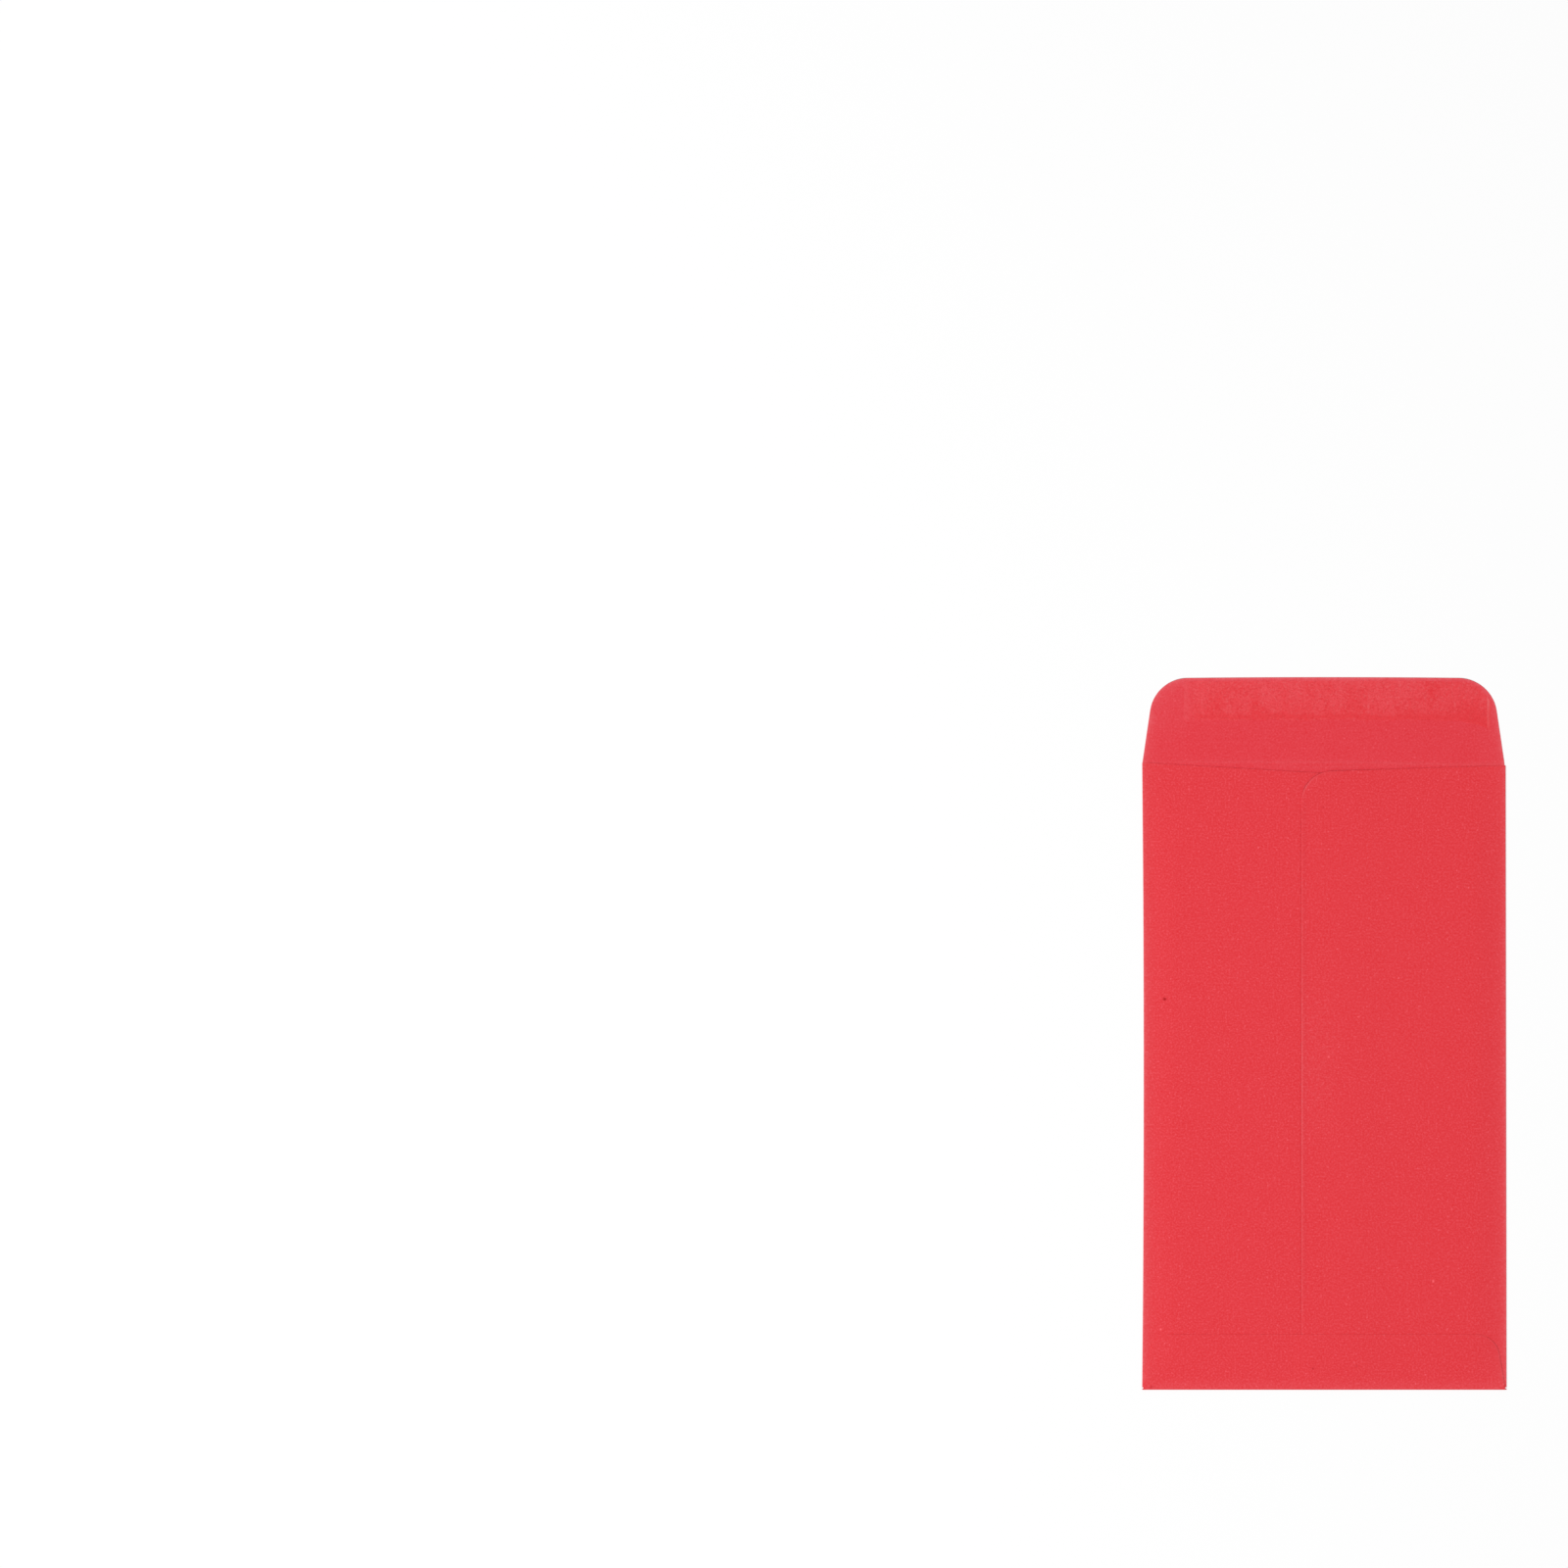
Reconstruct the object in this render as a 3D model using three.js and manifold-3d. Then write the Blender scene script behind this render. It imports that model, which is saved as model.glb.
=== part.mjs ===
// A cash envelope with its seal flap lying open: one folded paper blank, its glue lines and its gum band.
// Sizes are millimetres. The front panel lies on the plane z = 0 with its outside down, and the mouth faces +Y.
// The origin is the centre of the front panel's outside face.

import * as THREE from "three";
import { mergeVertices } from "three/addons/utils/BufferGeometryUtils.js";
import Module from "manifold-3d";

// Paper and glue
const paperThickness = 0.15;
const glueThickness = 0.05;
const gumThickness = 0.05;

// Pocket, between its two side folds, its bottom fold and the flap's crease
const pocketWidth = 95;
const pocketHeight = 164;
const pocketGap = 0.6;

// Centre seam, where the right back panel laps over the left one and steps down beyond its edge
const seamFromLeftFold = 41.6;
const seamLap = 12.7;
const seamCornerRadius = 8.2;
const joggleClearance = 0.3;
const joggleRun = 1.2;

// Glue line in the seam
const seamGlueSideMargin = 2;
const seamGlueThroatMargin = 8;
const seamGlueBottomMargin = 1;

// Throat: how far each back panel's upper edge lies below the crease, at its fold and at the seam
const leftShoulderDrop = 0.1;
const leftSeamDrop = 3.3;
const rightShoulderDrop = 0.85;
const rightSeamDrop = 2.6;

// Bottom flap, glued up over both back panels
const bottomFlapHeight = 14.5;
const bottomFlapSideInset = 0.2;
const bottomFlapTaper = THREE.MathUtils.degToRad(9.8);
const bottomFlapCornerRadius = 5.5;
const bottomGlueSideMargin = 2.5;
const bottomGlueEndMargin = 1.5;

// Seal flap
const sealFlapHeight = 22.2;
const sealFlapShoulderStep = 0.05;
const sealFlapTaper = THREE.MathUtils.degToRad(8.3);
const sealFlapCornerRadius = 9.5;
const closedFlapClearance = 0.1;

// Scored bead along the crease
const beadHeight = 0.08;
const beadWidth = 0.8;

// Gum band on the inside of the seal flap: its lower edge runs down towards its right end
const gumLeftReach = 35.3;
const gumRightReach = 42.7;
const gumEdgeMargin = 1;
const gumBandHeight = 9.5;
const gumRunDrop = 3;
const gumRunLength = 10.6;

// Facets of a round corner, of a half-round fold and of a soft bend
const cornerFacets = 16;
const foldFacets = 10;
const bendFacets = 6;

// Finishes
const paperRed = 0xe4424b;
const gumRed = 0xe5484f;
const glueCream = 0xe9dfcb;
const paperRoughness = 0.85;
const gumRoughness = 0.55;
const glueRoughness = 0.5;

// Heights of the layers over the front panel
const backUnderside = paperThickness + pocketGap;
const backTop = backUnderside + paperThickness;
const lapUnderside = backTop + glueThickness;
const lapTop = lapUnderside + paperThickness;
const bottomFlapUnderside = lapTop + glueThickness;
const bottomFlapTop = bottomFlapUnderside + paperThickness;

// Each half-round fold reaches from the table to the outside of the layer that it carries
const sideFoldRadius = backTop / 2;
const bottomFoldRadius = bottomFlapTop / 2;

// The flap turns about a line at half the height of the closed flap, and its crease is a half turn laid flat
const closedFlapTop = lapTop + closedFlapClearance + gumThickness + paperThickness;
const hingeHeight = closedFlapTop / 2;
const creaseLength = Math.PI * (hingeHeight - paperThickness / 2);

// Places across the pocket
const sideX = pocketWidth / 2;
const panelX = sideX - sideFoldRadius;
const seamX = seamFromLeftFold - sideX;
const lapEndX = seamX + seamLap;
const joggleStartX = lapEndX + joggleClearance;
const joggleEndX = joggleStartX + joggleRun;
const sealFlapX = panelX - sealFlapShoulderStep;
const bottomFlapX = sideX - bottomFlapSideInset;

// Places along the pocket
const creaseY = pocketHeight / 2;
const bottomY = -pocketHeight / 2;
const panelBottomY = bottomY + bottomFoldRadius;
const creaseStartY = creaseY - creaseLength / 2;
const creaseEndY = creaseY + creaseLength / 2;

// Stands a profile up: its X stays across the pocket, its Y turns upwards, and it runs along the pocket.
const ALONG_POCKET = new THREE.Matrix4().makeBasis(
  new THREE.Vector3(1, 0, 0),
  new THREE.Vector3(0, 0, 1),
  new THREE.Vector3(0, -1, 0),
);

// Stands a profile up: its X turns along the pocket, its Y upwards, and it runs across the pocket.
const ACROSS_POCKET = new THREE.Matrix4().makeBasis(
  new THREE.Vector3(0, 1, 0),
  new THREE.Vector3(0, 0, 1),
  new THREE.Vector3(1, 0, 0),
);

const wasm = await Module();
wasm.setup();

// The points of the arc that rounds a corner and is tangent to the two sides that meet there.
function roundCorner(corner, last, next, radius) {
  const back = last.clone().sub(corner).normalize();
  const ahead = next.clone().sub(corner).normalize();
  const middle = back.clone().add(ahead).normalize();
  const halfAngle = Math.acos(back.dot(ahead)) / 2;
  const tangent = radius / Math.tan(halfAngle);
  const centre = corner.clone().addScaledVector(middle, radius / Math.sin(halfAngle));
  const start = corner.clone().addScaledVector(back, tangent).sub(centre);
  const end = corner.clone().addScaledVector(ahead, tangent).sub(centre);
  const clockwise = back.cross(ahead) > 0;
  const arc = new THREE.EllipseCurve(centre.x, centre.y, radius, radius, start.angle(), end.angle(), clockwise);
  return arc.getPoints(cornerFacets);
}

// An outline through corners [x, y] or [x, y, radius], where a corner with a radius is round.
function roundedOutline(corners) {
  const points = corners.map(([x, y]) => new THREE.Vector2(x, y));
  const outline = corners.flatMap(([, , radius], i) => {
    const last = points.at(i - 1);
    const next = points[(i + 1) % points.length];
    return radius ? roundCorner(points[i], last, next, radius) : [points[i]];
  });
  return new THREE.Shape(outline);
}

// A flat sheet of one outline, lying at a height.
function sheet(outline, thickness, height) {
  const geometry = new THREE.ExtrudeGeometry(outline, { depth: thickness, bevelEnabled: false });
  return geometry.translate(0, 0, height);
}

// A standing profile carried along the pocket.
function stripAlong(profile, startY, endY, facets) {
  const shape = { depth: endY - startY, bevelEnabled: false, curveSegments: facets };
  const geometry = new THREE.ExtrudeGeometry(profile, shape);
  return geometry.translate(0, 0, -endY).applyMatrix4(ALONG_POCKET);
}

// A standing profile carried across the pocket.
function stripAcross(profile, startX, endX, facets) {
  const shape = { depth: endX - startX, bevelEnabled: false, curveSegments: facets };
  const geometry = new THREE.ExtrudeGeometry(profile, shape);
  return geometry.translate(0, 0, startX).applyMatrix4(ACROSS_POCKET);
}

// The half-round section of a fold, which stands on the table at its X = 0 and bulges to one side.
function foldSection(outerRadius, bulgesBack) {
  const bottom = -Math.PI / 2;
  const top = Math.PI / 2;
  const section = new THREE.Shape();
  section.absarc(0, outerRadius, outerRadius, bottom, top, bulgesBack);
  section.absarc(0, outerRadius, outerRadius - paperThickness, top, bottom, !bulgesBack);
  return section;
}

// A geometry as a solid for cutting, with its shared corners merged.
function toSolid(geometry) {
  const bare = new THREE.BufferGeometry();
  bare.setAttribute("position", geometry.getAttribute("position"));
  const merged = mergeVertices(bare);
  const vertProperties = merged.getAttribute("position").array;
  const triVerts = new Uint32Array(merged.index.array);
  return new wasm.Manifold(new wasm.Mesh({ numProp: 3, vertProperties, triVerts }));
}

// A geometry trimmed to an outline seen from above.
function trimmed(geometry, outline) {
  geometry.computeBoundingBox();
  const { min, max } = geometry.boundingBox;
  const spare = paperThickness;
  const cutter = sheet(outline, max.z - min.z + 2 * spare, min.z - spare);
  const mesh = toSolid(geometry).intersect(toSolid(cutter)).getMesh();
  const result = new THREE.BufferGeometry();
  result.setAttribute("position", new THREE.BufferAttribute(mesh.vertProperties, 3));
  result.setIndex(new THREE.BufferAttribute(mesh.triVerts, 1));
  result.computeVertexNormals();
  return result;
}

// A tab that narrows evenly from its fold line to two round corners, drawn from a root above the fold line.
function tabOutline({ foldY, rootY, tipY, halfWidth, taper, cornerRadius }) {
  const narrowing = Math.tan(taper);
  const rootX = halfWidth - (rootY - foldY) * narrowing;
  const tipX = halfWidth - (tipY - foldY) * narrowing;
  return roundedOutline([
    [-rootX, rootY],
    [rootX, rootY],
    [tipX, tipY, cornerRadius],
    [-tipX, tipY, cornerRadius],
  ]);
}

// A back panel's outline, from its side fold to its free edge with the round upper corner.
function backPanelOutline({ foldX, freeX, shoulderDrop, seamDrop }) {
  return roundedOutline([
    [foldX, panelBottomY],
    [freeX, panelBottomY],
    [freeX, creaseY - seamDrop, seamCornerRadius],
    [foldX, creaseY - shoulderDrop],
  ]);
}

// The front panel, between the side folds, the bottom fold and the crease.
function frontPanel() {
  const outline = roundedOutline([
    [-panelX, panelBottomY],
    [panelX, panelBottomY],
    [panelX, creaseStartY],
    [-panelX, creaseStartY],
  ]);
  return sheet(outline, paperThickness, 0);
}

// The left side fold, up to its shoulder.
function leftFold() {
  const section = foldSection(sideFoldRadius, true);
  const fold = stripAlong(section, panelBottomY, creaseY - leftShoulderDrop, foldFacets);
  return fold.translate(-panelX, 0, 0);
}

// The right side fold, up to its shoulder.
function rightFold() {
  const section = foldSection(sideFoldRadius, false);
  const fold = stripAlong(section, panelBottomY, creaseY - rightShoulderDrop, foldFacets);
  return fold.translate(panelX, 0, 0);
}

// The bottom fold, as wide as the pocket, so that it closes the lower ends of the side folds.
function bottomFold() {
  const section = foldSection(bottomFoldRadius, true);
  const fold = stripAcross(section, -sideX, sideX, foldFacets);
  return fold.translate(0, panelBottomY, 0);
}

// The left back panel, which runs on under the seam.
function leftBackPanel() {
  const outline = backPanelOutline({
    foldX: -panelX,
    freeX: lapEndX,
    shoulderDrop: leftShoulderDrop,
    seamDrop: leftSeamDrop,
  });
  return sheet(outline, paperThickness, backUnderside);
}

// The right back panel, which steps up over the left one's free edge and ends at the seam.
function rightBackPanel() {
  const middleX = (joggleStartX + joggleEndX) / 2;
  const profile = new THREE.Shape();
  profile.moveTo(panelX, backUnderside);
  profile.lineTo(panelX, backTop);
  profile.lineTo(joggleEndX, backTop);
  profile.bezierCurveTo(middleX, backTop, middleX, lapTop, joggleStartX, lapTop);
  profile.lineTo(seamX, lapTop);
  profile.lineTo(seamX, lapUnderside);
  profile.lineTo(joggleStartX, lapUnderside);
  profile.bezierCurveTo(middleX, lapUnderside, middleX, backUnderside, joggleEndX, backUnderside);
  const outline = backPanelOutline({
    foldX: panelX,
    freeX: seamX,
    shoulderDrop: rightShoulderDrop,
    seamDrop: rightSeamDrop,
  });
  return trimmed(stripAlong(profile, bottomY, creaseY, bendFacets), outline);
}

// The glue line in the seam, clear of the throat and of both free edges.
function seamGlue() {
  const leftX = seamX + seamGlueSideMargin;
  const rightX = lapEndX - seamGlueSideMargin;
  const startY = panelBottomY + seamGlueBottomMargin;
  const endY = creaseY - Math.max(leftSeamDrop, rightSeamDrop) - seamGlueThroatMargin;
  const outline = roundedOutline([
    [leftX, startY],
    [rightX, startY],
    [rightX, endY],
    [leftX, endY],
  ]);
  return sheet(outline, glueThickness, backTop);
}

// The bottom flap, the outermost layer.
function bottomFlap() {
  const outline = tabOutline({
    foldY: bottomY,
    rootY: panelBottomY,
    tipY: bottomY + bottomFlapHeight,
    halfWidth: bottomFlapX,
    taper: bottomFlapTaper,
    cornerRadius: bottomFlapCornerRadius,
  });
  return sheet(outline, paperThickness, bottomFlapUnderside);
}

// The glue under the bottom flap: a film on the lap, and as deep as the lap's step on both sides of it.
function bottomFlapGlue() {
  const reach = bottomFlapX - bottomFlapHeight * Math.tan(bottomFlapTaper) - bottomGlueSideMargin;
  const startY = panelBottomY + bottomGlueEndMargin;
  const endY = bottomY + bottomFlapHeight - bottomGlueEndMargin;
  const profile = new THREE.Shape();
  profile.moveTo(-reach, backTop);
  profile.lineTo(seamX, backTop);
  profile.lineTo(seamX, lapTop);
  profile.lineTo(joggleEndX, lapTop);
  profile.lineTo(joggleEndX, backTop);
  profile.lineTo(reach, backTop);
  profile.lineTo(reach, bottomFlapUnderside);
  profile.lineTo(-reach, bottomFlapUnderside);
  return stripAlong(profile, startY, endY, bendFacets);
}

// One long face of the scored crease, drawn across its bead in either direction along the pocket.
function addBeadFace(profile, direction, height) {
  const edge = (direction * beadWidth) / 2;
  const shoulder = edge / 2;
  const crest = height + beadHeight;
  profile.lineTo((-direction * creaseLength) / 2, height);
  profile.lineTo(-edge, height);
  profile.bezierCurveTo(-shoulder, height, -shoulder, crest, 0, crest);
  profile.bezierCurveTo(shoulder, crest, shoulder, height, edge, height);
  profile.lineTo((direction * creaseLength) / 2, height);
}

// The crease of the seal flap: the strip of the blank that bends, with a scored bead along its middle.
function flapCrease() {
  const profile = new THREE.Shape();
  profile.moveTo(-creaseLength / 2, paperThickness);
  addBeadFace(profile, 1, 0);
  addBeadFace(profile, -1, paperThickness);
  const scored = stripAcross(profile, -sideX, sideX, bendFacets).translate(0, creaseY, 0);
  const endX = sealFlapX - (creaseEndY - creaseY) * Math.tan(sealFlapTaper);
  const outline = roundedOutline([
    [-panelX, creaseStartY],
    [panelX, creaseStartY],
    [sealFlapX, creaseY],
    [endX, creaseEndY],
    [-endX, creaseEndY],
    [-sealFlapX, creaseY],
  ]);
  return trimmed(scored, outline);
}

// The seal flap beyond its crease, measured from the line that it turns about.
function sealFlap() {
  const outline = tabOutline({
    foldY: 0,
    rootY: creaseEndY - creaseY,
    tipY: sealFlapHeight,
    halfWidth: sealFlapX,
    taper: sealFlapTaper,
    cornerRadius: sealFlapCornerRadius,
  });
  return sheet(outline, paperThickness, -hingeHeight);
}

// The dried gum along the flap's tip, kept in from the flap's edge all round.
function gumStrip() {
  const flapInside = tabOutline({
    foldY: 0,
    rootY: creaseEndY - creaseY + gumEdgeMargin,
    tipY: sealFlapHeight - gumEdgeMargin,
    halfWidth: sealFlapX - gumEdgeMargin,
    taper: sealFlapTaper,
    cornerRadius: sealFlapCornerRadius - gumEdgeMargin,
  });
  const lowY = sealFlapHeight - gumEdgeMargin - gumBandHeight;
  const runStartX = gumRightReach - gumRunLength;
  const runMiddleX = gumRightReach - gumRunLength / 2;
  const band = new THREE.Shape();
  band.moveTo(-gumLeftReach, sealFlapHeight);
  band.lineTo(-gumLeftReach, lowY);
  band.lineTo(runStartX, lowY);
  band.quadraticCurveTo(runMiddleX, lowY, gumRightReach, lowY - gumRunDrop);
  band.lineTo(gumRightReach, sealFlapHeight);
  return trimmed(sheet(band, gumThickness, paperThickness - hingeHeight), flapInside);
}

// A named piece with its own finish.
function piece(name, geometry, color, roughness) {
  const material = new THREE.MeshStandardMaterial({ color, roughness, metalness: 0 });
  const mesh = new THREE.Mesh(geometry, material);
  mesh.name = name;
  return mesh;
}

// The pocket: everything that stays still, and the crease that bends.
function pocket() {
  const group = new THREE.Group();
  group.add(
    piece("front_panel", frontPanel(), paperRed, paperRoughness),
    piece("left_fold", leftFold(), paperRed, paperRoughness),
    piece("right_fold", rightFold(), paperRed, paperRoughness),
    piece("bottom_fold", bottomFold(), paperRed, paperRoughness),
    piece("left_back_panel", leftBackPanel(), paperRed, paperRoughness),
    piece("right_back_panel", rightBackPanel(), paperRed, paperRoughness),
    piece("seam_glue", seamGlue(), glueCream, glueRoughness),
    piece("bottom_flap", bottomFlap(), paperRed, paperRoughness),
    piece("bottom_flap_glue", bottomFlapGlue(), glueCream, glueRoughness),
    piece("flap_crease", flapCrease(), paperRed, paperRoughness),
  );
  return group;
}

// The seal flap and its gum, in a group whose own X axis is the line that they turn about.
function flap() {
  const group = new THREE.Group();
  group.position.set(0, creaseY, hingeHeight);
  group.add(
    piece("seal_flap", sealFlap(), paperRed, paperRoughness),
    piece("gum_strip", gumStrip(), gumRed, gumRoughness),
  );
  return group;
}

const envelope = new THREE.Group();
envelope.add(pocket(), flap());

export default envelope;
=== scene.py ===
"""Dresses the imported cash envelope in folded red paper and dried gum, in a plain studio.

The envelope lies on its front with its back up and its seal flap open, as the photograph shows it.
Lengths are metres: X runs across the pocket, Y from its closed end to its mouth and Z up out of its back.
"""

import logging
import math
from collections.abc import Callable, Sequence
from dataclasses import dataclass, field
from enum import Enum

import bpy
import numpy as np
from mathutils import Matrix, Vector


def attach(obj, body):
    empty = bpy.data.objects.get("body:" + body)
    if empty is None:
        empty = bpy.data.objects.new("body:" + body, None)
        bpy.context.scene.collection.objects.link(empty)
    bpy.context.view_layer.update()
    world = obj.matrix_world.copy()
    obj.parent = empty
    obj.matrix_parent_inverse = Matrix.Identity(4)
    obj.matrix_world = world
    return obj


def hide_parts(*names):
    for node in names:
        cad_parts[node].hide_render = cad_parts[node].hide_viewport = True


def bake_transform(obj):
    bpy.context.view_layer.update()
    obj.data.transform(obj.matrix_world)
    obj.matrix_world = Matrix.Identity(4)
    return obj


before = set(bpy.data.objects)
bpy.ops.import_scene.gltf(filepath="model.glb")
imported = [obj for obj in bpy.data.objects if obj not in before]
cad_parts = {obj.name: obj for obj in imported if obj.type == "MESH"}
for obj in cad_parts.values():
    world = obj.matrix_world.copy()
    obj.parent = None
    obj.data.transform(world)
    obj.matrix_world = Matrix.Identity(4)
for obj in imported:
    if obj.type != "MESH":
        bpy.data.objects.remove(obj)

Color = tuple[float, float, float]
Triple = tuple[float, float, float]
Points = np.ndarray
Place = Callable[[Points, Points], Points]
# A wear function gives pale wear above 0 and painted shade below 0.
Wear = Callable[[Points, Points], Points]
Unfold = Callable[[Points], Points]

MM = 0.001
FAR = 10 * MM
PANEL_NODES = ("front_panel", "left_fold", "right_fold", "left_back_panel", "right_back_panel")

log = logging.getLogger("cash_envelope")


def ease(value: Points, start: float, end: float) -> Points:
    """Rises smoothly from 0 at start to 1 at end, which may lie below start."""
    share = np.clip((value - start) / (end - start), 0.0, 1.0)
    return share * share * (3.0 - 2.0 * share)


def graded(start: float, end: float, step: float, fine: Sequence[float] = ()) -> Points:
    """Spaces places evenly along a stretch, with finer ones near its end.

    Args:
        start: The first place.
        end: The last place, above or below the first.
        step: The widest spacing.
        fine: How far before the end each finer place lies, the furthest first.

    Returns:
        The places in order, from start to end.
    """
    direction = math.copysign(1.0, end - start)
    even_end = end - direction * fine[0] if fine else end
    count = max(2, math.ceil(abs(even_end - start) / step) + 1)
    tail = [end - direction * gap for gap in fine[1:]]
    return np.array([*np.linspace(start, even_end, count), *tail, *([end] if fine else [])])


def round_corner(last: Points, corner: Points, following: Points, radius: float, facets: int) -> Points:
    """Rounds a corner between two straight edges.

    Args:
        last: A point on the edge that leads to the corner.
        corner: The corner itself.
        following: A point on the edge that leads on.
        radius: The radius of the round.
        facets: The number of straight pieces in the round.

    Returns:
        The points of the round, tangent to both edges.
    """
    back = (last - corner) / np.linalg.norm(last - corner)
    ahead = (following - corner) / np.linalg.norm(following - corner)
    half = math.acos(float(back @ ahead)) / 2
    middle = (back + ahead) / np.linalg.norm(back + ahead)
    centre = corner + middle * radius / math.sin(half)
    from_start = corner + back * radius / math.tan(half) - centre
    from_end = corner + ahead * radius / math.tan(half) - centre
    turn = math.pi - 2 * half
    share = np.linspace(0.0, 1.0, facets + 1)[:, None]
    weights = np.sin((1 - share) * turn), np.sin(share * turn)
    return centre + (weights[0] * from_start + weights[1] * from_end) / math.sin(turn)


def distance_to_lines(points: Points, lines: Sequence[Points]) -> Points:
    """Measures how far each flat point lies from the nearest of some polylines.

    Args:
        points: Flat points, one a row.
        lines: Polylines of flat points.

    Returns:
        The distance of each point, or a far one where there is no line.
    """
    nearest = np.full(len(points), FAR)
    for line in lines:
        for start, end in zip(line[:-1], line[1:], strict=True):
            along = end - start
            length = float(along @ along)
            if length == 0.0:
                continue
            share = np.clip((points - start) @ along / length, 0.0, 1.0)
            gap = np.linalg.norm(points - start - share[:, None] * along, axis=1)
            nearest = np.minimum(nearest, gap)
    return nearest


def fade(gap: Points, reach: float, strength: float) -> Points:
    """A strength at an edge that dies away with the gap to it, to about a third at its reach."""
    return strength * np.exp(-np.maximum(gap, 0.0) / reach)


def rim_paleness(gap: Points) -> Points:
    """How pale handling and folding have worn the paper near its outline, from the distance to it."""
    return fade(gap, 0.5 * MM, 0.086) + fade(gap, 2.6 * MM, 0.027)


def unworn(flat: Points, places: Points) -> Points:
    """No wear at all, for what lies hidden."""
    return np.zeros(len(places))


class Side(Enum):
    """The two sides of the envelope, as seen from its back."""

    LEFT = -1.0
    RIGHT = 1.0


class Speck(Enum):
    """The two kinds of stray fibre in the paper."""

    DARK = "dark"
    PALE = "pale"


@dataclass(frozen=True)
class Fleck:
    """A stray fibre at one place on the blank, in millimetres."""

    kind: Speck
    place: Triple
    radius: Triple
    strength: float = 1.0


@dataclass(frozen=True)
class Cut:
    """A cut edge of the blank, and how pale its fibres have worn along it."""

    line: Points
    wear: float = 0.0
    peak: float = 0.0
    spread: float = math.inf
    far_share: float = 0.1

    def paleness(self, flat: Points) -> Points:
        """The paleness at flat points, of which a share is left far from the edge's most worn place.

        Args:
            flat: The flat points.

        Returns:
            The paleness at each point.
        """
        near = np.exp(-(((flat[:, 1] - self.peak) / self.spread) ** 2))
        share = self.far_share + (1.0 - self.far_share) * near
        return share * fade(distance_to_lines(flat, [self.line]), 0.25 * MM, self.wear)


@dataclass(frozen=True)
class Blank:
    """The sizes that the panels, folds and flaps of the blank share."""

    paper: float = 0.15 * MM
    glue: float = 0.05 * MM
    half_width: float = 47.5 * MM
    closed_end: float = -82.0 * MM
    crease: float = 82.0 * MM
    crease_start: float = 81.018 * MM
    crease_end: float = 82.982 * MM
    seam: float = -5.9 * MM
    lap_end: float = 6.8 * MM
    step_start: float = 7.0 * MM
    step_end: float = 19.0 * MM
    flap_half_width: dict[Side, float] = field(
        default_factory=lambda: {Side.LEFT: 47.40 * MM, Side.RIGHT: 47.15 * MM}
    )
    flap_taper: float = math.radians(8.3)
    hollow: float = 0.42 * MM
    flare: float = 0.24 * MM
    side_start: float = 12 * MM

    def waist(self, y: Points) -> Points:
        """How far the left side is drawn in along the pocket."""
        return self.hollow * (1.0 - (y / self.crease) ** 2)

    def corner_shade(self, places: Points) -> Points:
        """The painted shade that darkens the two sharp corners of the closed end."""
        gap = np.hypot(np.abs(places[:, 0]) - self.half_width, places[:, 1] - self.closed_end)
        return fade(gap, 0.35 * MM, 0.30)


@dataclass(frozen=True)
class Layers:
    """How high the layers of the pressed, springy pocket lie over the table."""

    blank: Blank
    pressed: float = 0.40 * MM
    sprung: float = 0.84 * MM
    side_reach: float = 9 * MM
    mouth_reach: float = 17 * MM
    closed_reach: float = 11 * MM
    mouth_flat: float = 80.5 * MM
    wave_height: float = 0.03 * MM
    wave_length: float = 38 * MM
    drape_reach: float = 1.6 * MM
    lap_top: float = 68 * MM
    edge_lift: float = 0.12 * MM
    edge_reach: float = 1.6 * MM

    def spring(self, x: Points, y: Points) -> Points:
        """The share of the pocket's spring: none at its folds and its mouth, all of it in its middle.

        Args:
            x: The places across the pocket.
            y: The places along it.

        Returns:
            The share at each place.
        """
        from_side = ease(self.blank.half_width - np.abs(x), 0.3 * MM, self.side_reach)
        from_mouth = ease(y, self.mouth_flat, self.mouth_flat - self.mouth_reach)
        from_end = ease(y, self.blank.closed_end, self.blank.closed_end + self.closed_reach)
        return from_side * from_mouth * from_end

    def wave(self, x: Points, y: Points) -> Points:
        """The slow waviness that damp and pressing leave in the paper.

        Args:
            x: The places across the pocket.
            y: The places along it.

        Returns:
            Its height at each place.
        """
        turn = 2 * math.pi / self.wave_length
        crossed = np.sin(turn * (x + 0.45 * y)) * np.sin(turn * (0.38 * y - 0.7 * x) + 0.8)
        return self.wave_height * (crossed + 0.6 * np.sin(turn * 0.61 * y + 2.1))

    def back(self, x: Points, y: Points) -> Points:
        """The height of a back panel's outside where it lies straight over the front panel."""
        spring = self.spring(x, y)
        return self.pressed + spring * (self.sprung - self.pressed + self.wave(x, y))

    def lap(self, x: Points) -> Points:
        """How far the right back panel is lifted by the edge of the left one under it."""
        rise = self.blank.paper + self.blank.glue
        return rise * (1.0 - ease(x, self.blank.step_start, self.blank.step_end))

    def free_edge(self, x: Points, y: Points) -> Points:
        """How far the right back panel's free edge, which no glue reaches, stands off the left one."""
        between = ease(y, -65 * MM, -55 * MM) * ease(y, self.lap_top + 8 * MM, self.lap_top)
        return self.edge_lift * ease(x, self.blank.seam + self.edge_reach, self.blank.seam) * between

    def drape(self, x: Points) -> Points:
        """How far the bottom flap is lifted where it passes over the seam's lap."""
        return self.lap(x) * ease(x, self.blank.seam - self.drape_reach, self.blank.seam)


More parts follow.
